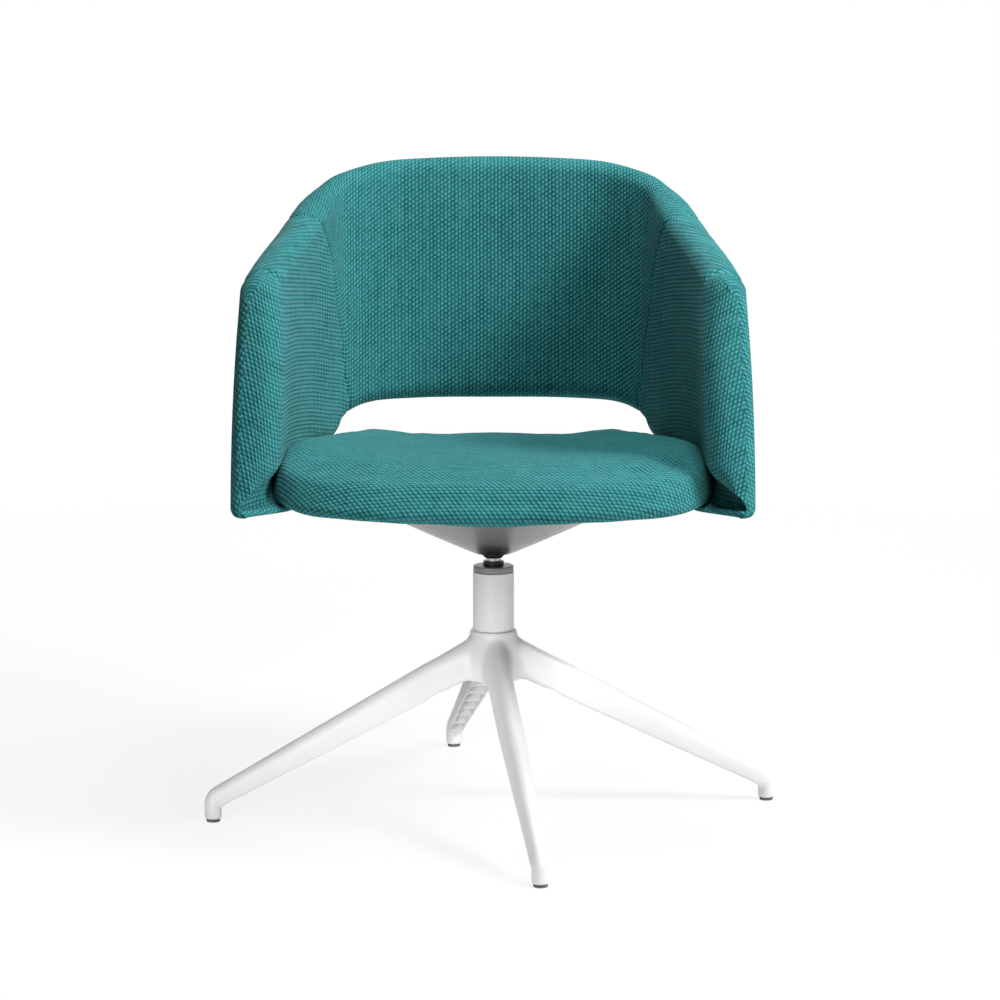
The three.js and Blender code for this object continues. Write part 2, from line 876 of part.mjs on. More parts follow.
function seatForm(inset) {
  const rings = [];
  const pushRing = (ringInset, heightOf) => {
    const ring = seatOutline(ringInset);
    rings.push(ring.map(({ x, y }) => new THREE.Vector3(x, y, heightOf(x, y))));
  };
  pushRing(seatBoardInset + coverFold, () => seatEdgeHeight + inset);
  seatSideShares.forEach(([insetShare, heightShare]) => {
    pushRing(inset + seatSideRound * insetShare, (x, y) => {
      const low = seatEdgeHeight - seatLip(x, y) + inset;
      return mix(low, seatTop(x, y) - inset, heightShare);
    });
  });
  const shoulder = seatOutline(inset + seatSideRound);
  seatTopShares.forEach((share) => {
    rings.push(
      shoulder.map(({ x, y }) => {
        const [px, py] = [x * (1 - share), y * (1 - share)];
        return new THREE.Vector3(px, py, seatTop(px, py) - inset);
      }),
    );
  });
  return loft(rings);
}

function boardShape(inset) {
  return new THREE.Shape(seatOutline(inset));
}

// Rows of shell screws along the seat, as shares of its rear reach
const screwRowShares = [-0.5, -0.1, 0.3];

function screwPlaces() {
  const places = [];
  screwRowShares.forEach((share) => {
    const y = share * seatRearReach;
    const x = shellPlanWidth(y) - screwInset - armHalfThickness;
    places.push([x, y], [-x, y]);
  });
  return places;
}

function makeSeat() {
  const boardTop = seatBoardHeight + seatBoardThickness;
  const belowLip = seatBoardHeight - seatLipDrop - cutOverrun;
  let board = solidOf(slab(boardShape(seatBoardInset), seatBoardHeight, boardTop));
  const boardSpace = slab(boardShape(seatBoardInset - fitGap), belowLip, boardTop + fitGap);
  const [holeLow, holeTop] = [seatBoardHeight - cutOverrun, boardTop + cutOverrun];
  fourCorners(plateBoltSpacing).forEach(([x, y]) => {
    board = board.subtract(holeAt(nutBarrelRadius + fitGap, x, y, holeLow, holeTop));
  });
  screwPlaces().forEach(([x, y]) => {
    board = board.subtract(holeAt(screwRadius + fitGap, x, y, holeLow, holeTop));
  });
  coneScrewPlaces().forEach(([x, y]) => {
    board = board.subtract(holeAt(smallScrewRadius + fitGap, x, y, holeLow, holeTop));
  });
  addPiece("seat_board", geometryOf(board), plywood);

  let pad = solidOf(seatForm(skin));
  pad = pad.subtract(solidOf(boardSpace));
  fourCorners(plateBoltSpacing).forEach(([x, y]) => {
    const nutSpace = nutFlangeRadius + fitGap;
    const nutTop = boardTop + 2 * fitGap + nutFlangeThickness;
    pad = pad.subtract(holeAt(nutSpace, x, y, seatBoardHeight, nutTop));
  });
  addPiece("seat_foam", geometryOf(pad), foam);

  const mouth = slab(boardShape(seatBoardInset + coverFold), belowLip, boardTop);
  const cover = solidOf(seatForm(0))
    .subtract(solidOf(seatForm(fabricThickness)))
    .subtract(solidOf(mouth));
  addPiece("seat_cover", geometryOf(cover), tealWeave);
}

function makePlateFasteners() {
  const boardTop = seatBoardHeight + seatBoardThickness;
  fourCorners(plateBoltSpacing).forEach(([x, y], i) => {
    makeScrew(`plate_bolt_${i + 1}`, x, y, {
      seat: plateLow - fitGap,
      radius: boltRadius,
      headRadius: boltHeadRadius,
      headHeight: boltHeadHeight,
      length: plateThickness + seatBoardThickness,
    });
    const barrelLow = seatBoardHeight + fitGap;
    const flangeLow = boardTop + fitGap;
    const nut = turned(
      [
        [boltRadius + fitGap, barrelLow],
        [nutBarrelRadius, barrelLow],
        [nutBarrelRadius, flangeLow],
        [nutFlangeRadius, flangeLow],
        [nutFlangeRadius, flangeLow + nutFlangeThickness],
        [boltRadius + fitGap, flangeLow + nutFlangeThickness],
        [boltRadius + fitGap, barrelLow],
      ],
      holeFacets,
    );
    const mesh = addPiece(`plate_nut_${i + 1}`, nut, brightSteel);
    mesh.position.set(x, y, 0);
  });
}

// Shell: two space curves, the rim and the lower edge, carry every section of the wall

// Half curves from the arm front to the middle of the back: share of the half width, share of
// the way from front reach to back reach, and share of the rise
const rimShares = [
  [0.974, 0.204, 0],
  [0.928, 0.424, 0.186],
  [0.866, 0.672, 0.39],
  [0.808, 0.79, 0.61],
  [0.757, 0.848, 0.735],
  [0.692, 0.895, 0.838],
  [0.522, 0.956, 0.945],
  [0.33, 0.984, 0.982],
  [0, 1, 1],
];
const footShares = [
  [1, 0, 0],
  [0.971, 0.271, 0],
  [0.902, 0.557, 0],
  [0.82, 0.705, 0],
  [0.765, 0.786, 0.36],
  [0.712, 0.834, 0.74],
  [0.59, 0.888, 0.96],
  [0.34, 0.938, 1],
  [0, 0.952, 1],
];

function spaceCurve(shares, low, high) {
  const half = shares.map(([xShare, yShare, riseShare]) => {
    const y = mix(-shellFrontReach, shellBackReach, yShare);
    return new THREE.Vector3(xShare * shellHalfWidth, y, mix(low, high, riseShare));
  });
  const mirrored = half.slice(0, -1).reverse();
  const whole = half.concat(mirrored.map((p) => new THREE.Vector3(-p.x, p.y, p.z)));
  return new THREE.CatmullRomCurve3(whole, false, "catmullrom");
}

const rimCurve = spaceCurve(
  rimShares,
  armFootHeight + armRimRise,
  armFootHeight + backRimRise,
);
const footCurve = spaceCurve(footShares, armFootHeight, armFootHeight + backEdgeRise);

// Stations along the half shell, in steps of the share tables; the rest mirror them
const halfStations = [0, 0.5, 1, 1.6, 2.2, 2.75, 3.3, 3.8, 4.3, 4.8, 5.4, 6.2, 7.1, 8];
const lastStep = rimShares.length - 1;
const allStations = halfStations.concat(
  halfStations.slice(0, -1).reverse().map((step) => 2 * lastStep - step),
);

function shellPlanWidth(y) {
  const yShare = (y + shellFrontReach) / (shellFrontReach + shellBackReach);
  for (let i = 0; i + 1 < footShares.length; i += 1) {
    const [fromX, fromY] = footShares[i];
    const [toX, toY] = footShares[i + 1];
    if (yShare <= toY) {
      return shellHalfWidth * mix(fromX, toX, (yShare - fromY) / (toY - fromY));
    }
  }
  return 0;
}

// Steps over which the arm's section turns into the back's, and over which the flange ends
const backStartStep = 2.6;
const backEndStep = 4.6;
const flangeFadeStep = 2.1;
const flangeEndStep = 2.6;

// The frame of one station: lower point, upward line to the rim, and outward direction
function stationFrame(step) {
  const place = step / (2 * lastStep);
  const foot = footCurve.getPoint(place);
  const rim = rimCurve.getPoint(place);
  foot.z = Math.max(foot.z, armFootHeight);
  const along = footCurve.getTangent(place).add(rimCurve.getTangent(place));
  along.z = 0;
  along.normalize();
  const outward = new THREE.Vector3(along.y, -along.x, 0);
  const middle = rim.clone().add(foot).multiplyScalar(0.5);
  if (outward.dot(new THREE.Vector3(middle.x, middle.y, 0)) < 0) {
    outward.negate();
  }
  const stepFromFront = lastStep - Math.abs(step - lastStep);
  return { foot, rim, along, outward, backShare: smooth(stepFromFront, backStartStep, backEndStep) };
}

// Roundings of the wall section: lift as a share of the rounding, and offset or its reduction
// as a share of the half thickness or of the rounding
const armFootShares = [[0, 0.7], [0.3, 0.25], [1, 0]];
const backFootShares = [[0, 0.45], [0.25, 0.86], [1, 1]];
const backInnerShares = [[1, 1], [0.4, 0.93], [0.15, 0.75], [0, 0.4], [0, 0]];
const rimProfileShares = [[1, 1], [0.4, 0.85], [0.08, 0.45], [0, 0]];

// The arm's pad runs down into the thin foot: share of the pad's lift, and share of the way in
const padTurnShare = 0.62;
const padSlopeShare = 0.45;

// Share of the front edge's rounding that the thin foot takes
const footShrinkShare = 0.2;

// Outline of the wall at a station: lift from the lower edge, and offset outward
function wallSection(step, inset, forward, shrink) {
  const { foot, rim, along, outward, backShare } = stationFrame(step);
  const full = mix(armHalfThickness, backHalfThickness, backShare) - inset;
  const half = full - shrink;
  const height = rim.z - foot.z;
  const slope = rim.clone().sub(foot).multiplyScalar(1 / height);
  const footShrink = shrink * footShrinkShare;
  const armLow = inset + footShrink;
  const backLow = inset + shrink;
  const top = height - inset - shrink;
  const footOuter = full - footShrink;
  const footInner = full + 2 * inset - armFootThickness + footShrink;
  const rootOffset = armHalfThickness - flangeRootReach + inset + footShrink;
  const armFoot = armFootShares.map(([liftShare, insetShare]) => [
    armLow + armFootRound * liftShare,
    footOuter - armFootRound * insetShare,
  ]);
  const backFoot = backFootShares.map(([liftShare, offsetShare]) => [
    backLow + backEdgeRound * liftShare,
    half * offsetShare,
  ]);
  const armInner = [
    [armPadLift + inset, -half],
    [armPadLift * padTurnShare + inset, mix(-half, footInner, padSlopeShare)],
    [armFootThickness + armFootRound + inset, footInner],
    [armFootThickness - armLow, rootOffset],
    [armLow, rootOffset],
  ];
  const backInner = backInnerShares.map(([liftShare, offsetShare]) => [
    backLow + backEdgeRound * liftShare,
    -half * offsetShare,
  ]);
  const rimOutside = rimProfileShares.map(([dropShare, offsetShare]) => [
    top - rimRound * dropShare,
    half * offsetShare,
  ]);
  const rimInside = rimOutside.slice(0, -1).reverse().map(([lift, offset]) => [lift, -offset]);
  const blendPair = ([liftA, offsetA], [liftB, offsetB]) => [
    mix(liftA, liftB, backShare),
    mix(offsetA, offsetB, backShare),
  ];
  const outline = [
    ...armFoot.map((pair, i) => blendPair(pair, backFoot[i])),
    [height / 2, half + shellBulge],
    ...rimOutside,
    ...rimInside,
    [height / 2, -half],
    ...armInner.map((pair, i) => blendPair(pair, backInner[i])),
  ];
  return outline.map(([lift, offset]) =>
    foot
      .clone()
      .addScaledVector(slope, lift)
      .addScaledVector(outward, offset)
      .addScaledVector(along, forward),
  );
}

// Rounded front edge: share of its rounding forward, and share by which the section shrinks
const frontEdgeShares = [[0, 1], [0.3, 0.35], [1, 0]];

function shellForm(inset) {
  const rings = frontEdgeShares.map(([forwardShare, shrinkShare]) => {
    const forward = inset + frontEdgeRound * forwardShare;
    return wallSection(0, inset, forward, frontEdgeRound * shrinkShare);
  });
  allStations.slice(1, -1).forEach((step) => rings.push(wallSection(step, inset, 0, 0)));
  frontEdgeShares.slice().reverse().forEach(([forwardShare, shrinkShare]) => {
    const forward = -inset - frontEdgeRound * forwardShare;
    rings.push(wallSection(2 * lastStep, inset, forward, frontEdgeRound * shrinkShare));
  });
  return loft(rings);
}

const plainRootShare = 0.78;

// The moulded frame is a thin wall just inside the outer cover
function frameForm(grow) {
  const sections = allStations.map((step) => {
    const { foot, rim, along, outward, backShare } = stationFrame(step);
    const half = mix(armHalfThickness, backHalfThickness, backShare) - skin;
    const height = rim.z - foot.z;
    const slope = rim.clone().sub(foot).multiplyScalar(1 / height);
    const low = mix(skin, backEdgeRound + skin, backShare) - grow;
    const footIn = armFootRound * (1 - backShare);
    const top = height - frameRimSetback - skin + grow;
    const isEnd = step === 0 || step === 2 * lastStep;
    const forward = isEnd ? Math.sign(lastStep - step) * (frameFrontSetback - grow) : 0;
    const inner = half - frameThickness - grow;
    const plainRoot = mix(half - armFootRound * plainRootShare, inner, backShare);
    const flangeRoot = armHalfThickness - flangeRootReach + skin;
    const stepFromFront = lastStep - Math.abs(step - lastStep);
    const fade = smooth(stepFromFront, flangeFadeStep, flangeEndStep);
    const rootOffset = mix(flangeRoot, plainRoot, fade) - grow;
    const rootTop = low + frameThickness + 2 * grow;
    const footLine = armFootShares.map(([liftShare, insetShare]) => [
      low + footIn * liftShare,
      half - footIn * insetShare + grow,
    ]);
    const outline = [
      ...footLine,
      [height / 2, half + shellBulge + grow],
      [top, half + grow],
      [top, inner],
      [height / 2, inner + shellBulge],
      [rootTop + armFootThickness / 2, inner],
      [rootTop, rootOffset],
      [low, rootOffset],
    ];
    return outline.map(([lift, offset]) =>
      foot
        .clone()
        .addScaledVector(slope, lift)
        .addScaledVector(outward, offset)
        .addScaledVector(along, forward),
    );
  });
  return loft(sections);
}

// Flange that turns in from the arm's lower edge and carries the shell on the seat board
const flangeSteps = [0, 0.5, 1, 1.5, 2, 2.5];
const flangeEdgeShare = 0.85;
const flangeRecedingShare = 1.3;

function flangeShape(side, inset, reach) {
  const outerLine = [];
  const innerLine = [];
  flangeSteps.forEach((step) => {
    const { foot, outward } = stationFrame(step);
    const half = armHalfThickness - inset - armFootRound * flangeEdgeShare;
    outerLine.push(foot.clone().addScaledVector(outward, half));
    innerLine.push(foot.clone().addScaledVector(outward, half - reach));
  });
  const front = outerLine[0];
  front.y += 2 * inset + frontEdgeRound;
  const toeStart = front.y + reach * flangeRecedingShare;
  const behind = innerLine.filter((point) => point.y > toeStart + frontEdgeRound);
  const ahead = innerLine[innerLine.length - behind.length - 1];
  const toeShare = (toeStart - ahead.y) / (behind[0].y - ahead.y);
  const toe = ahead.clone().lerp(behind[0], toeShare);
  const outline = outerLine.concat([toe, ...behind].reverse());
  return new THREE.Shape(outline.map((point) => new THREE.Vector2(side * point.x, point.y)));
}

function makeShell() {
  let frame = solidOf(frameForm(0));
  [1, -1].forEach((side) => {
    const flange = slab(flangeShape(side, skin, flangeReach), flangeLow, flangeTop);
    frame = frame.add(solidOf(flange));
  });
  screwPlaces().forEach(([x, y], i) => {
    const holeLow = flangeLow - cutOverrun;
    const holeTop = flangeTop + cutOverrun;
    frame = frame.subtract(holeAt(screwHoleRadius, x, y, holeLow, holeTop));
    makeScrew(`shell_screw_${i + 1}`, x, y, {
      seat: flangeLow - fitGap,
      radius: screwRadius,
      headRadius: screwHeadRadius,
      headHeight: screwHeadHeight,
      length: flangeThickness + seatBoardThickness,
    });
  });
  addPiece("shell_frame", geometryOf(frame), blackPlastic);

  let pad = solidOf(shellForm(skin + fitGap)).subtract(solidOf(frameForm(fitGap)));
  const footCut = new THREE.BoxGeometry(
    4 * shellHalfWidth,
    2 * shellFrontReach + foamCutEnd,
    2 * (flangeTop + foamCutLift - armFootHeight),
  );
  footCut.translate(0, foamCutEnd / 2 - shellFrontReach, armFootHeight);
  pad = pad.subtract(solidOf(footCut));
  addPiece("shell_foam", geometryOf(pad), foam);

  let outside = solidOf(shellForm(0));
  let inside = solidOf(shellForm(fabricThickness));
  [1, -1].forEach((side) => {
    const low = armFootHeight;
    const high = flangeTop + skin;
    const wrap = slab(flangeShape(side, 0, flangeCoverReach), low, high);
    const hollow = slab(
      flangeShape(side, fabricThickness, flangeReach),
      low + fabricThickness,
      high - fabricThickness,
    );
    outside = outside.add(solidOf(wrap));
    inside = inside.add(solidOf(hollow));
  });
  addPiece("shell_cover", geometryOf(outside.subtract(inside)), tealWeave);
}

makeStarBase();
makeGlides();
makeColumn();
makeBearing();
makeSpindle();
makeSwivelPlate();
makeConeCover();
makePlateFasteners();
makeSeat();
makeShell();

export default chair;
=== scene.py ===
"""Looks of a pedestal swivel armchair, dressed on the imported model, in metres."""

import math

import bmesh
import bpy
import numpy as np
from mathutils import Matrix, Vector, kdtree, noise


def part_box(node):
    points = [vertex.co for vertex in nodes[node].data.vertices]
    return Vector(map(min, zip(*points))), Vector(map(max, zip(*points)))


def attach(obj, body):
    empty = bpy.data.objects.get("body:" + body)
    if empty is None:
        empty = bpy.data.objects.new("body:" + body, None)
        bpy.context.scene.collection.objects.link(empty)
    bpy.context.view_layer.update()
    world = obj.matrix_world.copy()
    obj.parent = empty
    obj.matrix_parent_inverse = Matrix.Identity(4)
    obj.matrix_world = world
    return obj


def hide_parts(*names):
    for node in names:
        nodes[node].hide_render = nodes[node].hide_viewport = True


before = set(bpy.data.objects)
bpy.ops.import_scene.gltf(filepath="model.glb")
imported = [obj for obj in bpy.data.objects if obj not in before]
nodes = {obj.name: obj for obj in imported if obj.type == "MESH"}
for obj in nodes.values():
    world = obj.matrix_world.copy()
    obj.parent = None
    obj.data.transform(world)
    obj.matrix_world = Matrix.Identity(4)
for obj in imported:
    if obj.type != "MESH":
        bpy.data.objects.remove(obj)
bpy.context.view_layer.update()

MM = 0.001

# ---------------------------------------------------------------- node helpers


class Nodes:
    """Short way to write the node tree of a material or world."""

    def __init__(self, name, kind=bpy.data.materials):
        self.owner = kind.new(name)
        self.owner.use_nodes = True
        self.tree = self.owner.node_tree
        self.shader = self.tree.nodes.get("Principled BSDF")

    def put(self, socket, value):
        """Links the socket to another one, or gives it a plain value."""
        if isinstance(value, bpy.types.NodeSocket):
            self.tree.links.new(value, socket)
        else:
            socket.default_value = value

    def add(self, kind, inputs=None, **settings):
        node = self.tree.nodes.new(kind)
        for key, value in settings.items():
            setattr(node, key, value)
        for key, value in (inputs or {}).items():
            self.put(node.inputs[key], value)
        return node

    def math(self, operation, *values):
        return self.add("ShaderNodeMath", dict(enumerate(values)), operation=operation).outputs[0]

    def noise(self, vector, scale, detail=3.0, roughness=0.5):
        inputs = {"Vector": vector, "Scale": scale, "Detail": detail, "Roughness": roughness}
        return self.add("ShaderNodeTexNoise", inputs).outputs["Fac"]

    def scaled(self, vector, scale):
        inputs = {0: vector, 1: scale}
        return self.add("ShaderNodeVectorMath", inputs, operation="MULTIPLY").outputs[0]

    def split(self, vector):
        return self.add("ShaderNodeSeparateXYZ", {0: vector}).outputs

    def vector(self, **parts):
        return self.add("ShaderNodeCombineXYZ", parts).outputs[0]

    def ramp(self, factor, stops):
        node = self.add("ShaderNodeValToRGB", {0: factor})
        elements = node.color_ramp.elements
        while len(elements) < len(stops):
            elements.new(0.5)
        for element, (place, color) in zip(elements, stops):
            element.position = place
            element.color = (*color, 1.0)
        return node.outputs[0]

    def span(self, value, low, high, out_low, out_high):
        names = ("Value", "From Min", "From Max", "To Min", "To Max")
        inputs = dict(zip(names, (value, low, high, out_low, out_high)))
        return self.add("ShaderNodeMapRange", inputs).outputs[0]

    def tint(self, first, second, factor):
        inputs = {"Factor": factor, "A": first, "B": second}
        node = self.add("ShaderNodeMix", data_type="RGBA", blend_type="MIX", inputs=inputs)
        return node.outputs["Result"]

    def bump(self, height, strength, distance):
        inputs = {"Height": height, "Strength": strength, "Distance": distance}
        return self.add("ShaderNodeBump", inputs).outputs[0]

    def place(self):
        return self.add("ShaderNodeTexCoord").outputs["Object"]

    def set(self, **values):
        names = {"color": "Base Color", "specular": "Specular IOR Level", "sheen": "Sheen Weight"}
        for key, value in values.items():
            name = names.get(key, key.replace("_", " ").title())
            self.put(self.shader.inputs[name], value)
        return self.owner


def rgb(red, green, blue):
    """Linear colour from the 0 to 255 values that a picture shows."""

    def linear(value):
        value /= 255.0
        return value / 12.92 if value <= 0.04045 else ((value + 0.055) / 1.055) ** 2.4

    return (linear(red), linear(green), linear(blue))


# ---------------------------------------------------------------- materials

WARP_PITCH, WEFT_PITCH = 0.0030, 0.0046
PLY_PAIR = 0.0024


def weave_material(name, dark, middle, light):
    """Thick plain weave: weft bricks stand over a lower warp, staggered from row to row."""
    m = Nodes(name)
    uv = m.add("ShaderNodeUVMap", uv_map="weave").outputs["UV"]
    wander = m.add(
        "ShaderNodeTexNoise", {"Vector": uv, "Scale": 9.0, "Detail": 1.0}, noise_dimensions="2D"
    )
    shift = m.add(
        "ShaderNodeVectorMath",
        {0: wander.outputs["Color"], 1: (0.0005, 0.0005, 0.0), 2: uv},
        operation="MULTIPLY_ADD",
    )
    parts = m.split(shift.outputs[0])
    a = m.math("DIVIDE", parts["X"], WARP_PITCH)
    b = m.math("DIVIDE", parts["Y"], WEFT_PITCH)
    column, row = m.math("FLOOR", a), m.math("FLOOR", b)
    across = m.math("SUBTRACT", m.math("SUBTRACT", a, column), 0.5)
    along = m.math("SUBTRACT", m.math("SUBTRACT", b, row), 0.5)

    def rounded(offset, power):
        """Section of a yarn, 1 at its middle and 0 at its sides."""
        doubled = m.math("MULTIPLY", m.math("ABSOLUTE", offset), 2.0)
        return m.math("SUBTRACT", 1.0, m.math("POWER", doubled, power))

    # Height of each yarn as it passes over and under
    leaning = m.math("MULTIPLY_ADD", along, 0.55, m.math("ADD", a, row))
    weft_wave = m.math("SINE", m.math("MULTIPLY", leaning, math.pi))
    warp_wave = m.math("SINE", m.math("MULTIPLY", m.math("ADD", b, column), math.pi))
    weft = m.math("MULTIPLY_ADD", weft_wave, 0.42, m.math("MULTIPLY", rounded(along, 2.4), 0.85))
    warp = m.math("MULTIPLY_ADD", warp_wave, -0.22, m.math("MULTIPLY", rounded(across, 2.2), 0.34))
    cloth = m.math("SMOOTH_MAX", weft, warp, 0.12)
    # Each yarn and brick has its own shade, and fine fibres run over them
    brick = m.vector(X=m.math("FLOOR", m.math("MULTIPLY", leaning, 0.5)), Y=row)
    own = m.add("ShaderNodeTexWhiteNoise", noise_dimensions="2D", inputs={"Vector": brick})
    row_shade = m.noise(m.scaled(uv, (9.0, 217.0, 1.0)), 1.0, 1.0)
    column_shade = m.noise(m.scaled(uv, (333.0, 9.0, 1.0)), 1.0, 1.0)
    fibre = m.noise(uv, 1900.0, 2.0, 0.7)
    blotch = m.noise(uv, 11.0, 3.0)
    height = m.math("MULTIPLY_ADD", fibre, 0.16, cloth)
    # The colour follows the height of the weave and is darker where it lies low: painted shade in
    # the hollows between the yarns, on top of each yarn's own tone.
    shade = m.span(height, -0.25, 1.35, 0.0, 1.0)
    for part, weight in (
        (row_shade, 0.32), (column_shade, 0.12), (blotch, 0.22), (fibre, 0.34),
        (own.outputs["Value"], 0.15),
    ):
        shade = m.math("MULTIPLY_ADD", m.math("SUBTRACT", part, 0.5), weight, shade)
    return m.set(
        color=m.ramp(shade, [(0.05, dark), (0.4, middle), (0.8, light)]),
        roughness=m.span(fibre, 0.2, 0.8, 0.84, 0.98),
        normal=m.bump(height, 0.85, 0.0011),
        specular=0.1,
        sheen=0.06,
        sheen_roughness=0.5,
    )


def powder_coat():
    m = Nodes("white_powder_coat")
    place = m.place()
    cloud = m.noise(place, 14.0, 4.0)
    return m.set(
        color=m.ramp(cloud, [(0.3, rgb(215, 214, 213)), (0.7, rgb(221, 220, 219))]),
        roughness=m.span(cloud, 0.3, 0.7, 0.36, 0.46),
        normal=m.bump(m.noise(place, 900.0, 2.0), 0.12, 0.0002),
        specular=0.42,
    )


def moulded(name, color, rough, scale=1600.0):
    m = Nodes(name)
    place = m.place()
    grain = m.noise(place, scale, 2.0, 0.6)
    worn = tuple(min(1.0, channel * 1.35 + 0.004) for channel in color)
    return m.set(
        color=m.ramp(m.noise(place, 38.0, 3.0), [(0.35, color), (0.75, worn)]),
        roughness=m.span(grain, 0.3, 0.7, rough - 0.06, rough + 0.08),
        normal=m.bump(grain, 0.3, 0.0002),
        specular=0.45,
    )


def turned_metal(name, color, rough, ring_scale, depth, metallic=1.0):
    """Metal with fine rings about the swivel axis, as spinning or turning leaves."""
    m = Nodes(name)
    parts = m.split(m.place())
    x2, y2 = (m.math("POWER", m.math("ABSOLUTE", parts[axis]), 2.0) for axis in "XY")
    radius = m.math("SQRT", m.math("ADD", x2, y2))
    rings = m.noise(m.vector(X=radius, Z=parts["Z"]), ring_scale, 4.0, 0.7)
    smear = m.noise(m.place(), 20.0, 3.0)
    spread = m.math("ADD", m.span(rings, 0.3, 0.7, -0.05, 0.05), rough)
    spread = m.math("ADD", m.span(smear, 0.3, 0.7, -0.03, 0.03), spread)
    return m.set(
        color=m.ramp(smear, [(0.3, tuple(c * 0.93 for c in color)), (0.7, color)]),
        roughness=spread,
        normal=m.bump(rings, depth, 0.0002),
        metallic=metallic,
    )


def plated(name, color, rough):
    m = Nodes(name)
    place = m.place()
    cloud = m.noise(place, 60.0, 3.0)
    return m.set(
        color=m.ramp(cloud, [(0.3, tuple(c * 0.82 for c in color)), (0.7, color)]),
        roughness=m.span(cloud, 0.3, 0.7, rough - 0.05, rough + 0.1),
        normal=m.bump(m.noise(place, 420.0, 3.0), 0.15, 0.0001),
        metallic=1.0,
    )


def birch_plywood():
    m = Nodes("plywood")
    place = m.place()
    grain = m.noise(m.scaled(place, (6.0, 90.0, 90.0)), 4.0, 6.0, 0.65)
    fleck = m.noise(m.scaled(place, (60.0, 700.0, 400.0)), 2.0, 3.0)
    color = m.ramp(
        grain, [(0.3, rgb(193, 155, 106)), (0.55, rgb(212, 178, 130)), (0.8, rgb(224, 196, 152))]
    )
    # The plies show on upright faces only
    plies = m.math("SINE", m.math("MULTIPLY", m.split(place)["Z"], 2 * math.pi / PLY_PAIR))
    facing = m.split(m.add("ShaderNodeNewGeometry").outputs["Normal"])
    upright = m.math("SUBTRACT", 1.0, m.math("ABSOLUTE", facing["Z"]))
    edge = m.math("MULTIPLY", upright, m.span(plies, -0.2, 0.2, 0.0, 0.55))
    color = m.tint(color, (*rgb(140, 98, 58), 1.0), edge)
    color = m.tint(color, (*rgb(160, 120, 76), 1.0), m.span(fleck, 0.62, 0.72, 0.0, 0.5))
    return m.set(color=color, roughness=0.62, normal=m.bump(grain, 0.2, 0.0004))


fabric = weave_material("teal_weave", rgb(2, 30, 28), rgb(22, 93, 94), rgb(62, 137, 140))
thread = moulded("teal_thread", rgb(78, 156, 154), 0.8, 2600.0)
white_coat = powder_coat()
cap_grey = moulded("grey_plastic", rgb(124, 125, 127), 0.5)
pad_grey = moulded("glide_grey", rgb(84, 85, 88), 0.62)
bush_black = moulded("black_plastic", rgb(22, 24, 26), 0.42)
frame_black = moulded("moulded_plastic", rgb(38, 40, 42), 0.58, 900.0)
collar_black = turned_metal("black_steel", rgb(30, 32, 34), 0.42, 900.0, 0.3, 0.55)
spindle_steel = turned_metal("bright_steel", rgb(176, 178, 182), 0.26, 2400.0, 0.45)
screw_steel = plated("screw_steel", rgb(190, 192, 194), 0.3)
cone_metal = turned_metal("satin_aluminium", rgb(106, 109, 108), 0.3, 1500.0, 0.3)
board_wood = birch_plywood()


# ---------------------------------------------------------------- mesh helpers


def make_object(name, points, faces, material, body, uvs=None, smooth=True):
    mesh = bpy.data.meshes.new(name)
    corners = [tuple(map(float, point)) for point in points]
    mesh.from_pydata(corners, [], [tuple(map(int, face)) for face in faces])
    if uvs is not None:
        layer = mesh.uv_layers.new(name="weave")
        layer.data.foreach_set("uv", np.asarray(uvs, np.float32).ravel())
    mesh.polygons.foreach_set("use_smooth", [smooth] * len(mesh.polygons))
    mesh.validate()
    mesh.update()
    obj = bpy.data.objects.new(name, mesh)
    bpy.context.scene.collection.objects.link(obj)
    mesh.materials.append(material)
    if body:
        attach(obj, body)
    return obj


def fix_normals(obj, distance=1e-7):
    """Joins double vertices, turns every face outward and shades it smooth."""
    bm = bmesh.new()
    bm.from_mesh(obj.data)
    bmesh.ops.remove_doubles(bm, verts=bm.verts, dist=distance)
    bmesh.ops.recalc_face_normals(bm, faces=bm.faces)
    bm.to_mesh(obj.data)
    bm.free()
    obj.data.polygons.foreach_set("use_smooth", [True] * len(obj.data.polygons))


def ring_faces(rings, count, closed=False):
    """Quads between neighbouring rings of count points each."""
    quads = []
    for i in range(rings if closed else rings - 1):
        a, b = i * count, (i + 1) % rings * count
        for k in range(count):
            n = (k + 1) % count
            quads.append((a + k, a + n, b + n, b + k))
    return quads


def ring_ends(rings, count):
    """Faces that close the first and the last ring."""
    return [tuple(range(count))[::-1], tuple((rings - 1) * count + k for k in range(count))]


def places_of(mesh):
    places = np.zeros(len(mesh.vertices) * 3)
    mesh.vertices.foreach_get("co", places)
    return places.reshape(-1, 3)


def tree_of(points):
    tree = kdtree.KDTree(len(points))
    for index, point in enumerate(points):
        tree.insert(point, index)
    tree.balance()
    return tree


def run_length(line):
    """Length of the line up to each of its points."""
    return np.concatenate([[0], np.cumsum(np.linalg.norm(np.diff(line, axis=0), axis=1))])


def at_lengths(line, lengths):
    run = run_length(line)
    return np.column_stack([np.interp(lengths, run, line[:, k]) for k in range(3)])


def dense(line, pitch=1.0):
    """Places along a line, one at each pitch."""
    return at_lengths(line, np.arange(0, run_length(line)[-1], pitch))


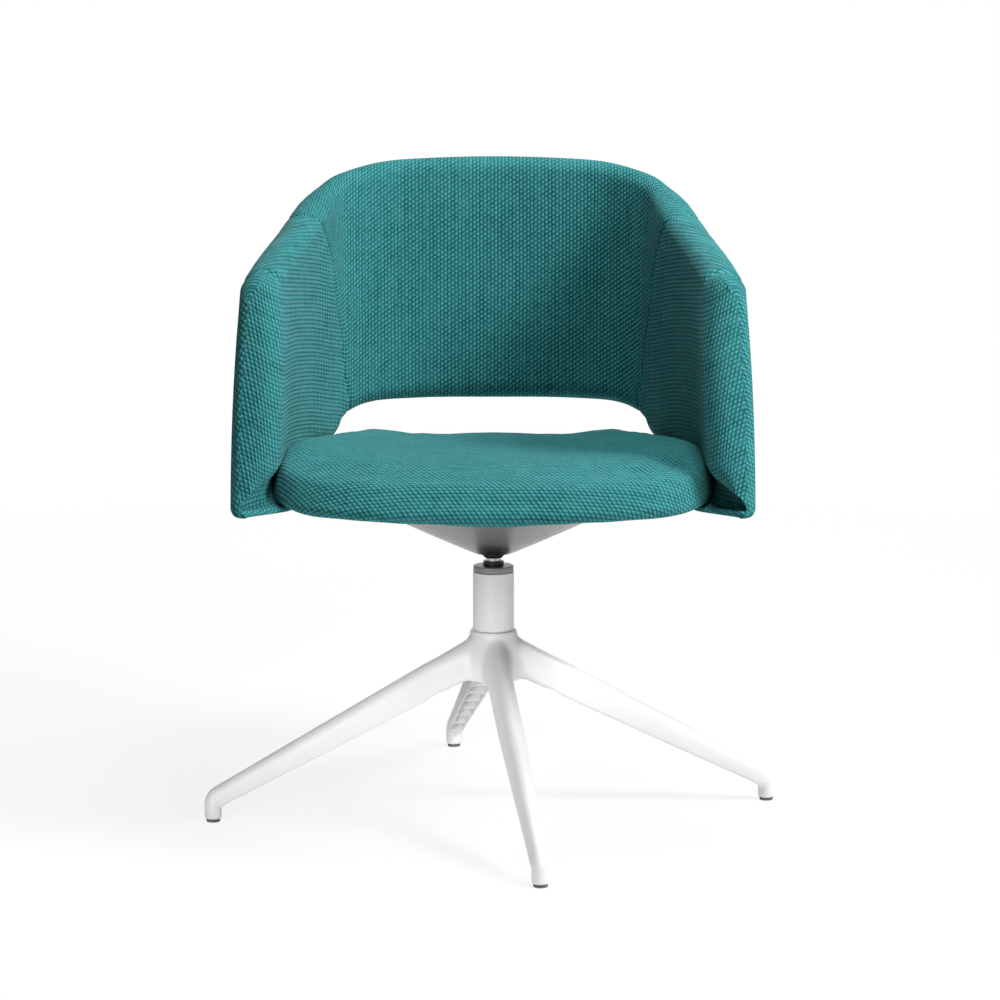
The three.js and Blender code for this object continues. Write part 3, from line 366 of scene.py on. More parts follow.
def catmull(points, t):
    """Points and tangents of the curve through points at the parameters t."""
    points = np.asarray(points, float)
    t = np.clip(np.asarray(t, float), 0, len(points) - 1)
    i = np.minimum(np.floor(t).astype(int), len(points) - 2)
    w = (t - i)[:, None]
    padded = np.vstack([2 * points[0] - points[1], points, 2 * points[-1] - points[-2]])
    p0, p1, p2, p3 = (padded[i + k] for k in range(4))
    m1, m2 = (p2 - p0) / 2, (p3 - p1) / 2
    place = (
        (2 * w**3 - 3 * w**2 + 1) * p1
        + (w**3 - 2 * w**2 + w) * m1
        + (3 * w**2 - 2 * w**3) * p2
        + (w**3 - w**2) * m2
    )
    tangent = (
        (6 * w**2 - 6 * w) * p1
        + (3 * w**2 - 4 * w + 1) * m1
        + (6 * w - 6 * w**2) * p2
        + (3 * w**2 - 2 * w) * m2
    )
    return place, tangent


def even_loop(control, fine, count):
    """Evenly spaced points of the closed flat curve through control, from fine steps of it."""
    closed = control[-2:] + control + control[:3]
    steps = np.linspace(2, 2 + len(control), fine, endpoint=False)
    line, _ = catmull([(x, y, 0) for x, y in closed], steps)
    loop = np.vstack([line, line[:1]])
    even = np.linspace(0, run_length(loop)[-1], count, endpoint=False)
    return at_lengths(loop, even)[:, :2]


def smoothstep(value, low, high):
    t = np.clip((np.asarray(value, float) - low) / (high - low), 0, 1)
    return t * t * (3 - 2 * t)


def turned_by(u, v, degrees):
    c, s = math.cos(math.radians(degrees)), math.sin(math.radians(degrees))
    return c * u + s * v, -s * u + c * v


def rounded_profile(points, radius, steps=5):
    """Rounds the corners of an open [radius, height] line."""
    points = [Vector(p) for p in points]
    line = [points[0]]
    for before, corner, after in zip(points, points[1:], points[2:]):
        to_before, to_after = before - corner, after - corner
        reach = min(radius, to_before.length * 0.45, to_after.length * 0.45)
        start = corner + to_before.normalized() * reach
        end = corner + to_after.normalized() * reach
        for k in range(steps + 1):
            t = k / steps
            line.append(start * (1 - t) ** 2 + corner * 2 * t * (1 - t) + end * t**2)
    line.append(points[-1])
    return line


def lathe(name, outline, material, body, segments, radius, center=(0.0, 0.0), closed=False):
    """Turned piece from [radius, height] points in metres."""
    if closed:
        line = rounded_profile(list(outline) + [outline[0], outline[1]], radius)[1:-1]
    else:
        line = rounded_profile(outline, radius)
    points = []
    for r, z in line:
        for k in range(segments):
            angle = 2 * math.pi * k / segments
            points.append((center[0] + r * math.cos(angle), center[1] + r * math.sin(angle), z))
    obj = make_object(name, points, ring_faces(len(line), segments, closed), material, None)
    fix_normals(obj)
    if body:
        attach(obj, body)
    return obj


# ---------------------------------------------------------------- shell of the chair

HALF_WIDTH, FRONT, BACK = 277.5, 252.0, 272.0
FOOT_Z, EDGE_Z, ARM_Z, TOP_Z = 405.0, 483.0, 672.0, 790.0
ARM_HALF, BACK_HALF = 23.0, 16.0
FRONT_ROLL = 5.0
# Round at the lower edge and top of the padding inside, each for the arm and for the back
EDGE_ROUNDS, PAD_TOPS = (12, 22), (52, 24)
EDGE_INSET_SHARE, EDGE_OUT_SHARE = 0.7, 0.42
RIM_ROUND = 18.0
OUTER_CROWN, INNER_CROWN = 2.5, 2.2
# Depths of the rings behind the front face, and how far it is rounded out, in and on top
FRONT_DEPTHS = [0.0, 0.4, 1.2, 2.6, 4.6, 7.2, 10.4, 14.2, 18.6, 23.0, 27.0, 30.2]
FRONT_ROUNDS = (12.0, 30.0, 16.0)
RIM_SHARES = [
    (0.974, 0.204, 0), (0.928, 0.424, 0.186), (0.866, 0.672, 0.39), (0.808, 0.79, 0.61),
    (0.757, 0.848, 0.735), (0.692, 0.895, 0.838), (0.522, 0.956, 0.945), (0.33, 0.984, 0.982),
    (0, 1, 1),
]
FOOT_SHARES = [
    (1, 0, 0), (0.971, 0.271, 0), (0.902, 0.557, 0), (0.82, 0.705, 0), (0.765, 0.786, 0.36),
    (0.712, 0.834, 0.74), (0.59, 0.888, 0.96), (0.34, 0.938, 1), (0, 0.952, 1),
]
LAST = 2.0 * (len(RIM_SHARES) - 1)
# Padding below the inside of an arm, as lift and offset from the wall, from the top down
ARM_PAD = [(52, -23.0), (42, -17.5), (31, -6.0), (20, 8.0), (11, 11.5), (5.5, 9.0), (0, 7)]


def space_curve(shares, low, high):
    half = [
        (x * HALF_WIDTH, -FRONT + (FRONT + BACK) * y, low + (high - low) * z) for x, y, z in shares
    ]
    return half + [(-x, y, z) for x, y, z in half[-2::-1]]


RIM = space_curve(RIM_SHARES, ARM_Z, TOP_Z)
FOOT = space_curve(FOOT_SHARES, FOOT_Z, EDGE_Z)


def unit(vectors):
    return vectors / np.linalg.norm(vectors, axis=1)[:, None]


def stations(s):
    """Frames of the wall at the steps s: foot, rim, direction along and outward, front share."""
    foot, foot_way = catmull(FOOT, s)
    rim, rim_way = catmull(RIM, s)
    foot[:, 2] = np.maximum(foot[:, 2], FOOT_Z)
    along = unit(foot_way) + unit(rim_way)
    along[:, 2] = 0
    along = unit(along)
    outward = np.column_stack([along[:, 1], -along[:, 0], np.zeros(len(along))])
    middle = (foot + rim) / 2
    outward *= np.where((outward[:, :2] * middle[:, :2]).sum(1) < 0, -1, 1)[:, None]
    return foot, rim, along, outward, LAST / 2 - np.abs(np.asarray(s) - LAST / 2)


# Rows round the wall section, from the bottom outside, up, over the rim and down inside
ROUND_ROWS, SIDE_ROWS, RIM_ROWS, PAD_ROWS, UNDER_ROWS = 10, 66, 20, 18, 4
SIDE_T = np.linspace(0, 1, SIDE_ROWS + 1)
OUTER_TOP = ROUND_ROWS + SIDE_ROWS
SEAM_ROW = OUTER_TOP + 1
RIM_MIDDLE = OUTER_TOP + RIM_ROWS // 2
INNER_TOP = OUTER_TOP + RIM_ROWS
INNER_LOW = INNER_TOP + SIDE_ROWS
INNER_END = INNER_LOW + PAD_ROWS
ROWS = INNER_END + 1 + UNDER_ROWS


def section(s, shrink_out, shrink_in, shrink_top):
    """Wall at the steps s: its frames, and lift and offset with one column per row."""
    foot, rim, along, outward, from_front = stations(s)
    back = smoothstep(from_front, 2.6, 4.6)
    height = rim[:, 2] - foot[:, 2]
    half = ARM_HALF + (BACK_HALF - ARM_HALF) * back
    roll = FRONT_ROLL * (1 - smoothstep(from_front, 0.2, 1.4))
    half_out, half_in = half - shrink_out, half - shrink_in
    shoulder = height - shrink_top - RIM_ROUND
    edge_inset = EDGE_ROUNDS[0] * EDGE_INSET_SHARE
    lifts, offsets = [], []

    def blend(arm, rear):
        return arm + (rear - arm) * back

    def row(lift, offset):
        lifts.append(lift + 0 * half)
        offsets.append(offset + 0 * half)

    for k in range(ROUND_ROWS):
        a = k / ROUND_ROWS * math.pi / 2
        arm_offset = half_out - edge_inset * (1 - math.sin(a))
        row(
            blend(*EDGE_ROUNDS) * (1 - math.cos(a)),
            blend(arm_offset, half_out * (EDGE_OUT_SHARE + (1 - EDGE_OUT_SHARE) * math.sin(a))),
        )
    low = blend(*EDGE_ROUNDS)
    for t in SIDE_T:
        row(low + (shoulder - low) * t, half_out + OUTER_CROWN * math.sin(math.pi * t))
    for k in range(1, RIM_ROWS):
        a = k / RIM_ROWS * math.pi
        side = half_out if a < math.pi / 2 else half_in
        row(shoulder + RIM_ROUND * math.sin(a), side * math.cos(a))
    for t in SIDE_T:
        puff = INNER_CROWN * math.sin(math.pi * t) ** 0.7 + roll * float(smoothstep(t, 0, 0.4))
        row(shoulder + (blend(*PAD_TOPS) - shoulder) * t, -half_in - puff)
    for k in range(1, PAD_ROWS + 1):
        t = k / PAD_ROWS
        a = t * math.pi / 2
        arm_lift, arm_offset = catmull(ARM_PAD, [t * (len(ARM_PAD) - 1)])[0][0]
        # The section's end is narrower where the front edge is rounded
        arm_offset = arm_offset + shrink_in * np.clip(-arm_offset / ARM_HALF, 0, 1)
        arm_offset = arm_offset - roll * (1 - t) ** 2
        lift = blend(arm_lift, PAD_TOPS[1] * (1 - math.sin(a)))
        row(lift, blend(arm_offset, -half_in * math.cos(a)))
    for k in range(1, UNDER_ROWS + 1):
        t = k / (UNDER_ROWS + 1)
        arm_offset = ARM_PAD[-1][1] * (1 - t) + (half_out - edge_inset) * t
        row(0.0, blend(arm_offset, half_out * EDGE_OUT_SHARE * t))
    return np.array(lifts).T, np.array(offsets).T, (foot, rim, along, outward, height)


def place_rows(s, forward=0.0, shrinks=(0.0, 0.0, 0.0)):
    """Ring of the wall with its own step for every row, moved forward along the wall."""
    lifts, offsets, (foot, rim, along, outward, height) = section(s, *shrinks)
    pick = np.arange(ROWS)
    lift, offset = lifts[pick, pick], offsets[pick, pick]
    slope = (rim - foot) / height[:, None]
    return foot + slope * lift[:, None] + outward * offset[:, None] + along * forward


# Share of the height at each row, which places the slanting seam between arm and back
row_share = np.zeros(ROWS)
row_share[ROUND_ROWS : OUTER_TOP + 1] = 0.04 + 0.91 * SIDE_T
row_share[OUTER_TOP + 1 : INNER_TOP] = 0.95 + 0.05 * np.sin(
    np.arange(1, RIM_ROWS) / RIM_ROWS * math.pi
)
row_share[INNER_TOP : INNER_LOW + 1] = 0.95 - 0.85 * SIDE_T
row_share[INNER_LOW + 1 : INNER_END + 1] = 0.1 * (1 - np.arange(1, PAD_ROWS + 1) / PAD_ROWS)
seam_steps = 5.35 - 3.1 * np.power(np.clip(row_share, 0, 1), 1.15)
SEAM_COLUMN = 3.6
# The columns begin where the rings of the front face end
FIRST_COLUMN = 0.44


def column_places():
    """Columns of the shell from end to end, closer together at the seams."""
    half = [c for c in np.arange(0, LAST / 2, 0.075) if abs(c - SEAM_COLUMN) > 0.07] + [LAST / 2]
    half += [SEAM_COLUMN + d for k in (0, 0.016, 0.034, 0.055) for d in (k, -k)]
    half = sorted(set(np.round(half, 5)))
    columns = np.array(half + [LAST - c for c in half[-2::-1]])
    first = next(i for i, c in enumerate(columns) if c > FIRST_COLUMN)
    return columns[first : len(columns) - first]


def column_ring(column):
    """Ring at a column, which leans as the seam does."""
    from_front = min(column, LAST - column)
    ahead = from_front * seam_steps / SEAM_COLUMN
    behind = seam_steps + (from_front - SEAM_COLUMN) * (LAST / 2 - seam_steps) / (
        LAST / 2 - SEAM_COLUMN
    )
    s = np.where(from_front < SEAM_COLUMN, ahead, behind)
    return place_rows(s if column <= LAST / 2 else LAST - s)


def front_ring(end, depth):
    """Ring behind the front face, with a soft inner and a sharper outer round."""
    shrinks = [r - math.sqrt(max(0.0, r**2 - max(0.0, r - depth) ** 2)) for r in FRONT_ROUNDS]
    return place_rows(np.full(ROWS, end), depth if end == 0 else -depth, shrinks)


columns = column_places()
grid = np.array(
    [front_ring(0.0, depth) for depth in FRONT_DEPTHS]
    + [column_ring(column) for column in columns]
    + [front_ring(LAST, depth) for depth in reversed(FRONT_DEPTHS)]
)
ring_count, front_count = len(grid), len(FRONT_DEPTHS)
left_seam = front_count + int(np.argmin(np.abs(columns - SEAM_COLUMN)))
right_seam = ring_count - 1 - left_seam

# Distances along each row from the middle of the back, level in plan, for the weave
level = np.linalg.norm(np.diff(grid[:, :, :2], axis=0), axis=2)
run = np.vstack([np.zeros(ROWS), np.cumsum(level, axis=0)])
run -= run[ring_count // 2]
rise = np.linalg.norm(np.roll(grid, -1, axis=1) - grid, axis=2)
climb = np.hstack([np.zeros((ring_count, 1)), np.cumsum(rise[:, :-1], axis=1)])
inner_climb = climb[:, [INNER_TOP]] - climb + grid[:, [INNER_TOP], 2]
outer_climb = climb - climb[:, [OUTER_TOP]] + grid[:, [OUTER_TOP], 2]

# Front face of each arm: a grid from the outer to the inner side of its first ring. It joins
# the outer rows to as many of the inner ones, from the bottom up
FACE_ROWS, FACE_STEPS, FACE_BULGE = RIM_MIDDLE + 1, 24, 0.09
inner_rows = np.arange(RIM_MIDDLE, ROWS)[::-1]
inside = inner_rows[np.round(np.linspace(0, len(inner_rows) - 1, FACE_ROWS)).astype(int)]

ARM_WEAVE_TURN, FACE_STRETCH, FRONT_BLEND = -20, 1.08, 26
# Rows fall by this share of the way inward, and the width counts as gone after this run back
ROW_FALL, NARROWING_RUN = 0.5, 3900


def face_side(x, end):
    """Distance on the front face from its inner side, as the weave lies on it."""
    return (np.abs(x) - abs(grid[end, inside[FACE_ROWS // 2], 0])) * FACE_STRETCH


def arm_table(way, end):
    """Weave places of one arm: seen from the front at its face, laid flat along it behind."""
    side = face_side(grid[end, :, 0], end)
    share = 1 - smoothstep(way, 0, FRONT_BLEND)
    level = inner_climb * (1 - share) + grid[:, :, 2] * share
    across, _ = turned_by(way - side * share, level, ARM_WEAVE_TURN)
    # Rows fall evenly as the arm runs inward, however it curves
    upright = level.copy()
    upright[:, INNER_TOP:] = grid[:, INNER_TOP:, 2]
    _, rows = turned_by(-side, upright, ARM_WEAVE_TURN)
    inward = np.abs(grid[end, :, 0]) - np.abs(grid[:, :, 0]) * (1 - way / NARROWING_RUN)
    return np.dstack([across, rows + ROW_FALL * inward])


points = list(grid.reshape(-1, 3))
faces, corner_uvs = [], []
outer_uv, back_uv = np.dstack([outer_climb, run]), np.dstack([inner_climb, run])
left_uv, right_uv = arm_table(run - run[0], 0), arm_table(run[-1] - run, -1)

for i in range(ring_count - 1):
    inner_uv = left_uv if i < left_seam else back_uv if i < right_seam else right_uv
    for j in range(ROWS):
        n = (j + 1) % ROWS
        quad = [(i, j), (i + 1, j), (i + 1, n), (i, n)]
        faces.append([a * ROWS + b for a, b in quad])
        table = inner_uv if SEAM_ROW <= j < INNER_END else outer_uv
        corner_uvs += [table[a, b] for a, b in quad]

for end, step in ((0, 1), (ring_count - 1, -1)):
    ring = grid[end]
    forward = np.array(Vector(ring[ROUND_ROWS] - grid[end + step][ROUND_ROWS]).normalized())
    rows = []
    for k in range(FACE_ROWS):
        out_point, in_point = ring[k], ring[inside[k]]
        width = np.linalg.norm(out_point - in_point)
        line = [end * ROWS + k]
        for j in range(1, FACE_STEPS):
            t = j / FACE_STEPS
            bulge = FACE_BULGE * width * math.sin(math.pi * t)
            line.append(len(points))
            points.append(out_point * (1 - t) + in_point * t + forward * bulge)
        rows.append(line + [end * ROWS + int(inside[k])])
    for k in range(FACE_ROWS - 1):
        for j in range(FACE_STEPS):
            quad = [rows[k][j], rows[k][j + 1], rows[k + 1][j + 1], rows[k + 1][j]]
            # At the top of the face the quads shrink to triangles or to nothing
            unique = list(dict.fromkeys(quad[::step]))
            if len(unique) < 3:
                continue
            faces.append(unique)
            for index in unique:
                x, _, z = points[index]
                corner_uvs.append(turned_by(-face_side(x, end), z, ARM_WEAVE_TURN))

shell = make_object(
    "shell_upholstery", np.array(points) * MM, faces, fabric, None, np.array(corner_uvs) * MM
)

# Seams: the outer one round rim and front edge, and one between each arm panel and the back
outer_seam = grid[front_count : ring_count - front_count, SEAM_ROW]
front_seams = []
for end, step in ((0, 1), (ring_count - 1, -1)):
    drop = []
    for k in range(SEAM_ROW - 6, ROUND_ROWS, -1):
        # The seam lies on rings nearer the front face as it runs down
        depth = 4.6 - 2.6 * float(smoothstep(SEAM_ROW - k, 14, 60))
        place = float(np.interp(depth, FRONT_DEPTHS, np.arange(front_count)))
        low = int(place)
        a, b = grid[end + step * low][k], grid[end + step * (low + 1)][k]
        drop.append(a + (b - a) * (place - low))
    front_seams.append(np.array(drop))
panel_seams = [grid[i, SEAM_ROW + 1 : INNER_END - 2] for i in (left_seam, right_seam)]


def press_seams(obj, lines, depth, width, puff, reach, fade=0.0):
    """Draws the surface in along the lines and lets it stand a little proud beside them."""
    runs = [dense(line) for line in lines]
    tree = tree_of(np.vstack(runs))
    strength = np.ones(sum(len(run) for run in runs))
    if fade:
        from_end = [np.minimum(np.arange(len(run)), np.arange(len(run))[::-1]) for run in runs]
        strength = smoothstep(np.concatenate(from_end), 0, fade)
    moves = []
    for vertex in obj.data.vertices:
        _, nearest, distance = tree.find(vertex.co / MM)
        if distance < reach * 3:
            pressed = -depth * math.exp(-((distance / width) ** 2))
            swell = puff * (distance / reach) * math.exp(1 - distance / reach)
            share = (pressed + swell) * float(strength[nearest])
            moves.append((vertex, vertex.normal.copy() * share * MM))
    for vertex, move in moves:
        vertex.co += move
    obj.data.update()


fix_normals(shell, 1e-6)
press_seams(shell, [outer_seam], 2.0, 1.9, 0.35, 9.0, fade=60)
press_seams(shell, front_seams, 1.1, 1.5, 0.2, 6.0, fade=40)
press_seams(shell, panel_seams, 1.5, 2.6, 0.6, 14.0)
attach(shell, "seat")
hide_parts("shell_cover", "shell_foam")


# ---------------------------------------------------------------- stitches

STITCH_SIDES = 6
STITCH_RINGS = (-1.0, -0.7, 0.0, 0.7, 1.0)


def stitch_line(name, line, pitch, length, radius, lift, inset):
    """A row of short stitches just above the surface."""
    vertices = shell.data.vertices
    tree = tree_of([vertex.co for vertex in vertices])
    places = dense(line, pitch)
    verts, polys = [], []
    for before, after in zip(places, places[1:]):
        way = Vector(after - before).normalized()
        middle = Vector((before + after) / 2)
        _, index, _ = tree.find(middle * MM)
        side = way.cross(vertices[index].normal).normalized()
        out = side.cross(way).normalized()
        base = len(verts)
        for end in STITCH_RINGS:
            swell = math.sqrt(max(0.0, 1 - abs(end) ** 3)) * radius + 0.04
            sink = -0.5 * abs(end) ** 2
            spot = middle + way * end * length / 2 + out * (lift + sink) + side * inset
            for k in range(STITCH_SIDES):
                angle = 2 * math.pi * k / STITCH_SIDES
                verts.append((spot + (side * math.cos(angle) + out * math.sin(angle)) * swell) * MM)
        for quad in ring_faces(len(STITCH_RINGS), STITCH_SIDES):
            polys.append([base + index for index in quad])
    obj = make_object(name, verts, polys, thread, "seat")


# Only the rear of the seam shows its stitches
stitch_line("outer_seam_stitches", outer_seam[outer_seam[:, 1] > 30], 6.5, 4.2, 0.42, 0.1, 2.6)

# ---------------------------------------------------------------- gusset below each arm

GUSSET_DEPTHS = np.concatenate([[0.5, 3, 7, 12, 18], np.arange(25, 390, 9)])
GUSSET_STEP = 145
GUSSET_EDGE = 3.2


def gusset(side):
    """Hollow panel that closes the corner between arm roll, cushion and lower edge."""
    steps = GUSSET_DEPTHS / GUSSET_STEP
    foot, rim, _, outward, _ = stations(steps if side > 0 else LAST - steps)
    slope = (rim - foot) / (rim - foot)[:, [2]]
    wall_lifts, wall_offsets = zip(*ARM_PAD[::-1])
    rows = []
    for index, depth in enumerate(GUSSET_DEPTHS):
        lift = float(np.interp(depth, [0, 10, 26, 48, 72, 95], [6, 12, 23, 35, 45, 50]))
        near_wall = float(np.interp(lift, wall_lifts, wall_offsets)) + 2.5
        reach = float(np.interp(depth, [0, 12, 30, 55, 80], [7, -3, -21, -42, -50]))
        top = Vector((near_wall, lift))
        edge = Vector((reach + 3, 7.4 - 1.4 * float(smoothstep(depth, 0, 40))))
        corner = Vector((near_wall * 0.75 + 5, 7.5))
        outline = []
        for t in np.linspace(0, 1, 15):
            outline.append(top * (1 - t) ** 2 + corner * 2 * t * (1 - t) + edge * t**2)
        for angle in (30, 65, 100, 140, 180):
            a = math.radians(angle)
            turn = GUSSET_EDGE + (edge.y - GUSSET_EDGE) * math.cos(a)
            outline.append(Vector((reach + 3 - 3 * math.sin(a), turn)))
        outline[-1].y = 0.2
        outline += [Vector((3, 0.2)), Vector((8, 1.0)), Vector((near_wall + 4, max(2.0, lift - 4)))]
        for point in outline:
            rows.append(foot[index] + slope[index] * point.y + outward[index] * point.x)
    depths, count = len(GUSSET_DEPTHS), len(outline)
    polys = ring_faces(depths, count) + [end[::-1] for end in ring_ends(depths, count)]
    across = np.linalg.norm(np.diff(np.array(rows).reshape(depths, count, 3), axis=1), axis=2)
    across = np.hstack([np.zeros((depths, 1)), np.cumsum(across, axis=1)])
    uvs = []
    for poly in polys:
        for index in poly:
            row, column = divmod(index, count)
            uvs.append(np.array(turned_by(GUSSET_DEPTHS[row], across[row, column], 25)) * MM)
    name = "arm_gusset_right" if side > 0 else "arm_gusset_left"
    obj = make_object(name, np.array(rows) * MM, polys, fabric, None, uvs)
    fix_normals(obj)
    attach(obj, "seat")


gusset(1)
gusset(-1)

# ---------------------------------------------------------------- seat cushion

SEAT_HALF, SEAT_FRONT, SEAT_REAR = 256.0, 265.0, 205.0
SEAT_EDGE, SEAT_CROWN = 411.5, 457.5
SIDE_RISE, REAR_DROP, FRONT_DROP = 24.0, 12.0, 12.0
LIP_MIDDLE, LIP_END = 16, 6
SEAT_POINTS = 220
SEAT_SHARES = [
    (0, -1), (0.3, -0.993), (0.58, -0.966), (0.79, -0.908), (0.92, -0.82), (0.99, -0.69),
    (1, -0.5), (0.972, -0.25), (0.922, 0), (0.872, 0.25), (0.811, 0.5), (0.731, 0.73),
    (0.604, 0.89), (0.331, 0.975), (0, 1),
]
# Insets of the fold under the board, and inset and share of the height up the side
FOLD_INSETS = (36, 30, 23, 17, 12)
LOW_ROUND = 9.5
SWELL_FRAMES = 20
SIDE_PROFILE = [
    (0.6, 0.1), (0, 0.24), (2.8, 0.52), (10, 0.8), (18, 0.94), (30, 0.993), (44, 1.0)
]
TOP_SHARES = (0.05, 0.12, 0.2, 0.3, 0.4, 0.5, 0.6, 0.7, 0.8, 0.89, 0.96)


def seat_outline():
    half = [(x * SEAT_HALF, y * (SEAT_FRONT if y < 0 else SEAT_REAR)) for x, y in SEAT_SHARES]
    return even_loop(half + [(-x, y) for x, y in half[-2:0:-1]], 1200, SEAT_POINTS)


def seat_top(x, y):
    rear = np.clip((y + SEAT_FRONT) / (SEAT_FRONT + SEAT_REAR), 0, 1)
    side = SIDE_RISE * (np.abs(x) / SEAT_HALF) ** 2.5 * (1 - smoothstep(-y, 80, 230))
    front = FRONT_DROP * smoothstep(-y, 120, SEAT_FRONT) ** 2
    return SEAT_CROWN - REAR_DROP * rear + side - front


def seat_lip(x, y):
    deep = LIP_MIDDLE + (LIP_END - LIP_MIDDLE) * np.minimum(1, np.abs(x) / SEAT_HALF)
    return deep * smoothstep(-y, 200, 236)


def build_seat():
    """The cushion, and the ring of its seam."""
    ring = seat_outline()
    way = unit(np.roll(ring, -1, axis=0) - np.roll(ring, 1, axis=0))
    inward = np.column_stack([-way[:, 1], way[:, 0]])
    # From the fold under the board, round the lower edge, up the side and over the shoulder
    rings = [(inset, "fold", 0.0) for inset in FOLD_INSETS]
    # The lower edge turns with a small radius, the shoulder with a large one
    for a in np.linspace(0, math.pi / 2, 9):
        rings.append((LOW_ROUND * (1 - math.sin(a)), "low", 1 - math.cos(a)))
    curve, _ = catmull(SIDE_PROFILE, np.linspace(1, 6, 31))
    rings += [(inset, "side", min(1.0, share)) for inset, share in curve[1:]]
    surface = []
    end_share = smoothstep(np.abs(ring[:, 0]), 0.88 * SEAT_HALF, 0.99 * SEAT_HALF)[:, None]
    for inset, kind, share in rings:
        # The ends stand steeper than the front, with a smaller round at the top
        steep = inset * (1 - 0.55 * float(smoothstep(-inset, -26, 0))) if kind == "side" else inset
        p = ring + inward * (inset * (1 - end_share) + steep * end_share)
        lip = SEAT_EDGE - seat_lip(p[:, 0], p[:, 1])
        height = seat_top(p[:, 0], p[:, 1]) - lip
        if kind == "fold":
            z = SEAT_EDGE + (lip - SEAT_EDGE) * float(smoothstep(-inset, -36, -10))
        elif kind == "low":
            z = lip + height * SIDE_PROFILE[1][1] * share
        else:
            z = lip + height * share
        surface.append(np.column_stack([p, z]))
    edge = ring + inward * SIDE_PROFILE[-1][0]
    for t in TOP_SHARES:
        p = edge * (1 - t)
        surface.append(np.column_stack([p, seat_top(p[:, 0], p[:, 1])]))
    surface = np.array(surface)
    count = SEAT_POINTS
    last = (len(surface) - 1) * count
    verts = list(surface.reshape(-1, 3))
    verts.append(np.array([0, 0, float(seat_top(np.zeros(1), np.zeros(1))[0])]))
    polys = ring_faces(len(surface), count)
    polys += [(last + k, last + (k + 1) % count, last + count) for k in range(count)]
    polys.append(tuple(range(count))[::-1])
    # Weave: the top lies flat, and the sides go on outward from the shoulder as they turn down
    flat = surface[:, :, :2].copy()
    drop = np.linalg.norm(np.diff(surface, axis=0), axis=2)
    for i in range(len(rings) - 2, -1, -1):
        flat[i] = flat[i + 1] - inward * drop[i][:, None]
    table = np.vstack([flat.reshape(-1, 2), [[0, 0]]]) * MM
    uvs = [table[index] for poly in polys for index in poly]
    obj = make_object("seat_cushion", np.array(verts) * MM, polys, fabric, None, uvs)
    return obj, surface[len(FOLD_INSETS) + 1]


def cloth_swell(obj, voxel, pressure, cap, held_below):
    """Swells the padding as cloth under pressure and carries the movement over to the piece."""
    scene = bpy.context.scene
    trial = bpy.data.objects.new("swell_trial", obj.data.copy())
    scene.collection.objects.link(trial)
    even = trial.modifiers.new("even", "REMESH")
    even.mode = "VOXEL"
    even.voxel_size = voxel
    graph = bpy.context.evaluated_depsgraph_get()
    even_mesh = bpy.data.meshes.new_from_object(trial.evaluated_get(graph))
    trial.modifiers.clear()
    trial.data = even_mesh
    rest = places_of(even_mesh)
    held = trial.vertex_groups.new(name="held")
    held.add([int(i) for i in np.nonzero(rest[:, 2] < held_below)[0]], 1.0, "REPLACE")
    cloth = trial.modifiers.new("swell", "CLOTH")
    cloth.settings.use_pressure = True
    cloth.settings.uniform_pressure_force = pressure
    cloth.settings.effector_weights.gravity = 0.0
    cloth.settings.vertex_group_mass = "held"
    for step in range(SWELL_FRAMES):
        scene.frame_set(step + 1)
    graph = bpy.context.evaluated_depsgraph_get()
    moved = places_of(trial.evaluated_get(graph).to_mesh()) - rest
    trial.evaluated_get(graph).to_mesh_clear()
    length = np.linalg.norm(moved, axis=1)
    moved *= (cap * np.tanh(length / cap) / np.maximum(length, 1e-9))[:, None]
    tree = tree_of(rest)
    for vertex in obj.data.vertices:
        near = tree.find_n(vertex.co, 6)
        weights = np.array([1 / (distance + 0.001) for _, _, distance in near])
        shift = (moved[[index for _, index, _ in near]] * weights[:, None]).sum(axis=0)
        vertex.co += Vector(shift / weights.sum())
    obj.data.update()
    bpy.data.objects.remove(trial)
    scene.frame_set(1)


def wrinkle(obj, amplitude, scale, low, high):
    """Slack in the cloth: slight waves, strongest below the height low and gone at high."""
    for vertex in obj.data.vertices:
        p = vertex.co
        strength = float(smoothstep(p.z / MM, low, high))
        value = noise.noise(Vector((p.x, p.y, p.z * 0.4)) * scale)
        vertex.co += vertex.normal * (amplitude * MM * value * (1 - strength))
    obj.data.update()


seat, seat_seam = build_seat()
cloth_swell(seat, 0.006, 4.0, 0.004, SEAT_EDGE * MM + 0.004)
wrinkle(seat, 0.9, 24.0, 410, 452)
press_seams(seat, [np.vstack([seat_seam, seat_seam[:1]])], 1.3, 1.6, 0.3, 8.0)
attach(seat, "seat")
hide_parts("seat_cover", "seat_foam")

# ---------------------------------------------------------------- star base

BASE_TURN = math.radians(8.95)
LEG_TURNS = [BASE_TURN + k * math.pi / 2 for k in range(4)]
LEG_ROOT, LEG_RUN = 22.0, 323.0
LEG_TOPS, LEG_LOWS = (222.5, 41.5), (173.0, 15.0)
ROOT_HALF, LEG_HALF, FOOT_HALF = 21, 14.5, 10.5
# The leg turns down into an upright foot at its end
FOOT_IN, FOOT_OUT = 334.5, 355.5
KNEE_IN, KNEE_OUT = 7, 24
POCKET_START, POCKET_END, POCKETS, HALF_RIB = 66, 326, 7, 1.2
LEG_WALL, LEG_ROOF, BELOW_LEG = 3.2, 9.0, 4.0
ARCH_SHARES = [
    (0, -1), (-0.55, -1), (-0.9, -0.99), (-0.985, -0.9), (-1, -0.7), (-1, -0.35), (-0.93, 0.2),
    (-0.7, 0.64), (-0.36, 0.9), (0, 1), (0.36, 0.9), (0.7, 0.64), (0.93, 0.2), (1, -0.35),
    (1, -0.7), (0.985, -0.9), (0.9, -0.99), (0.55, -1),
]
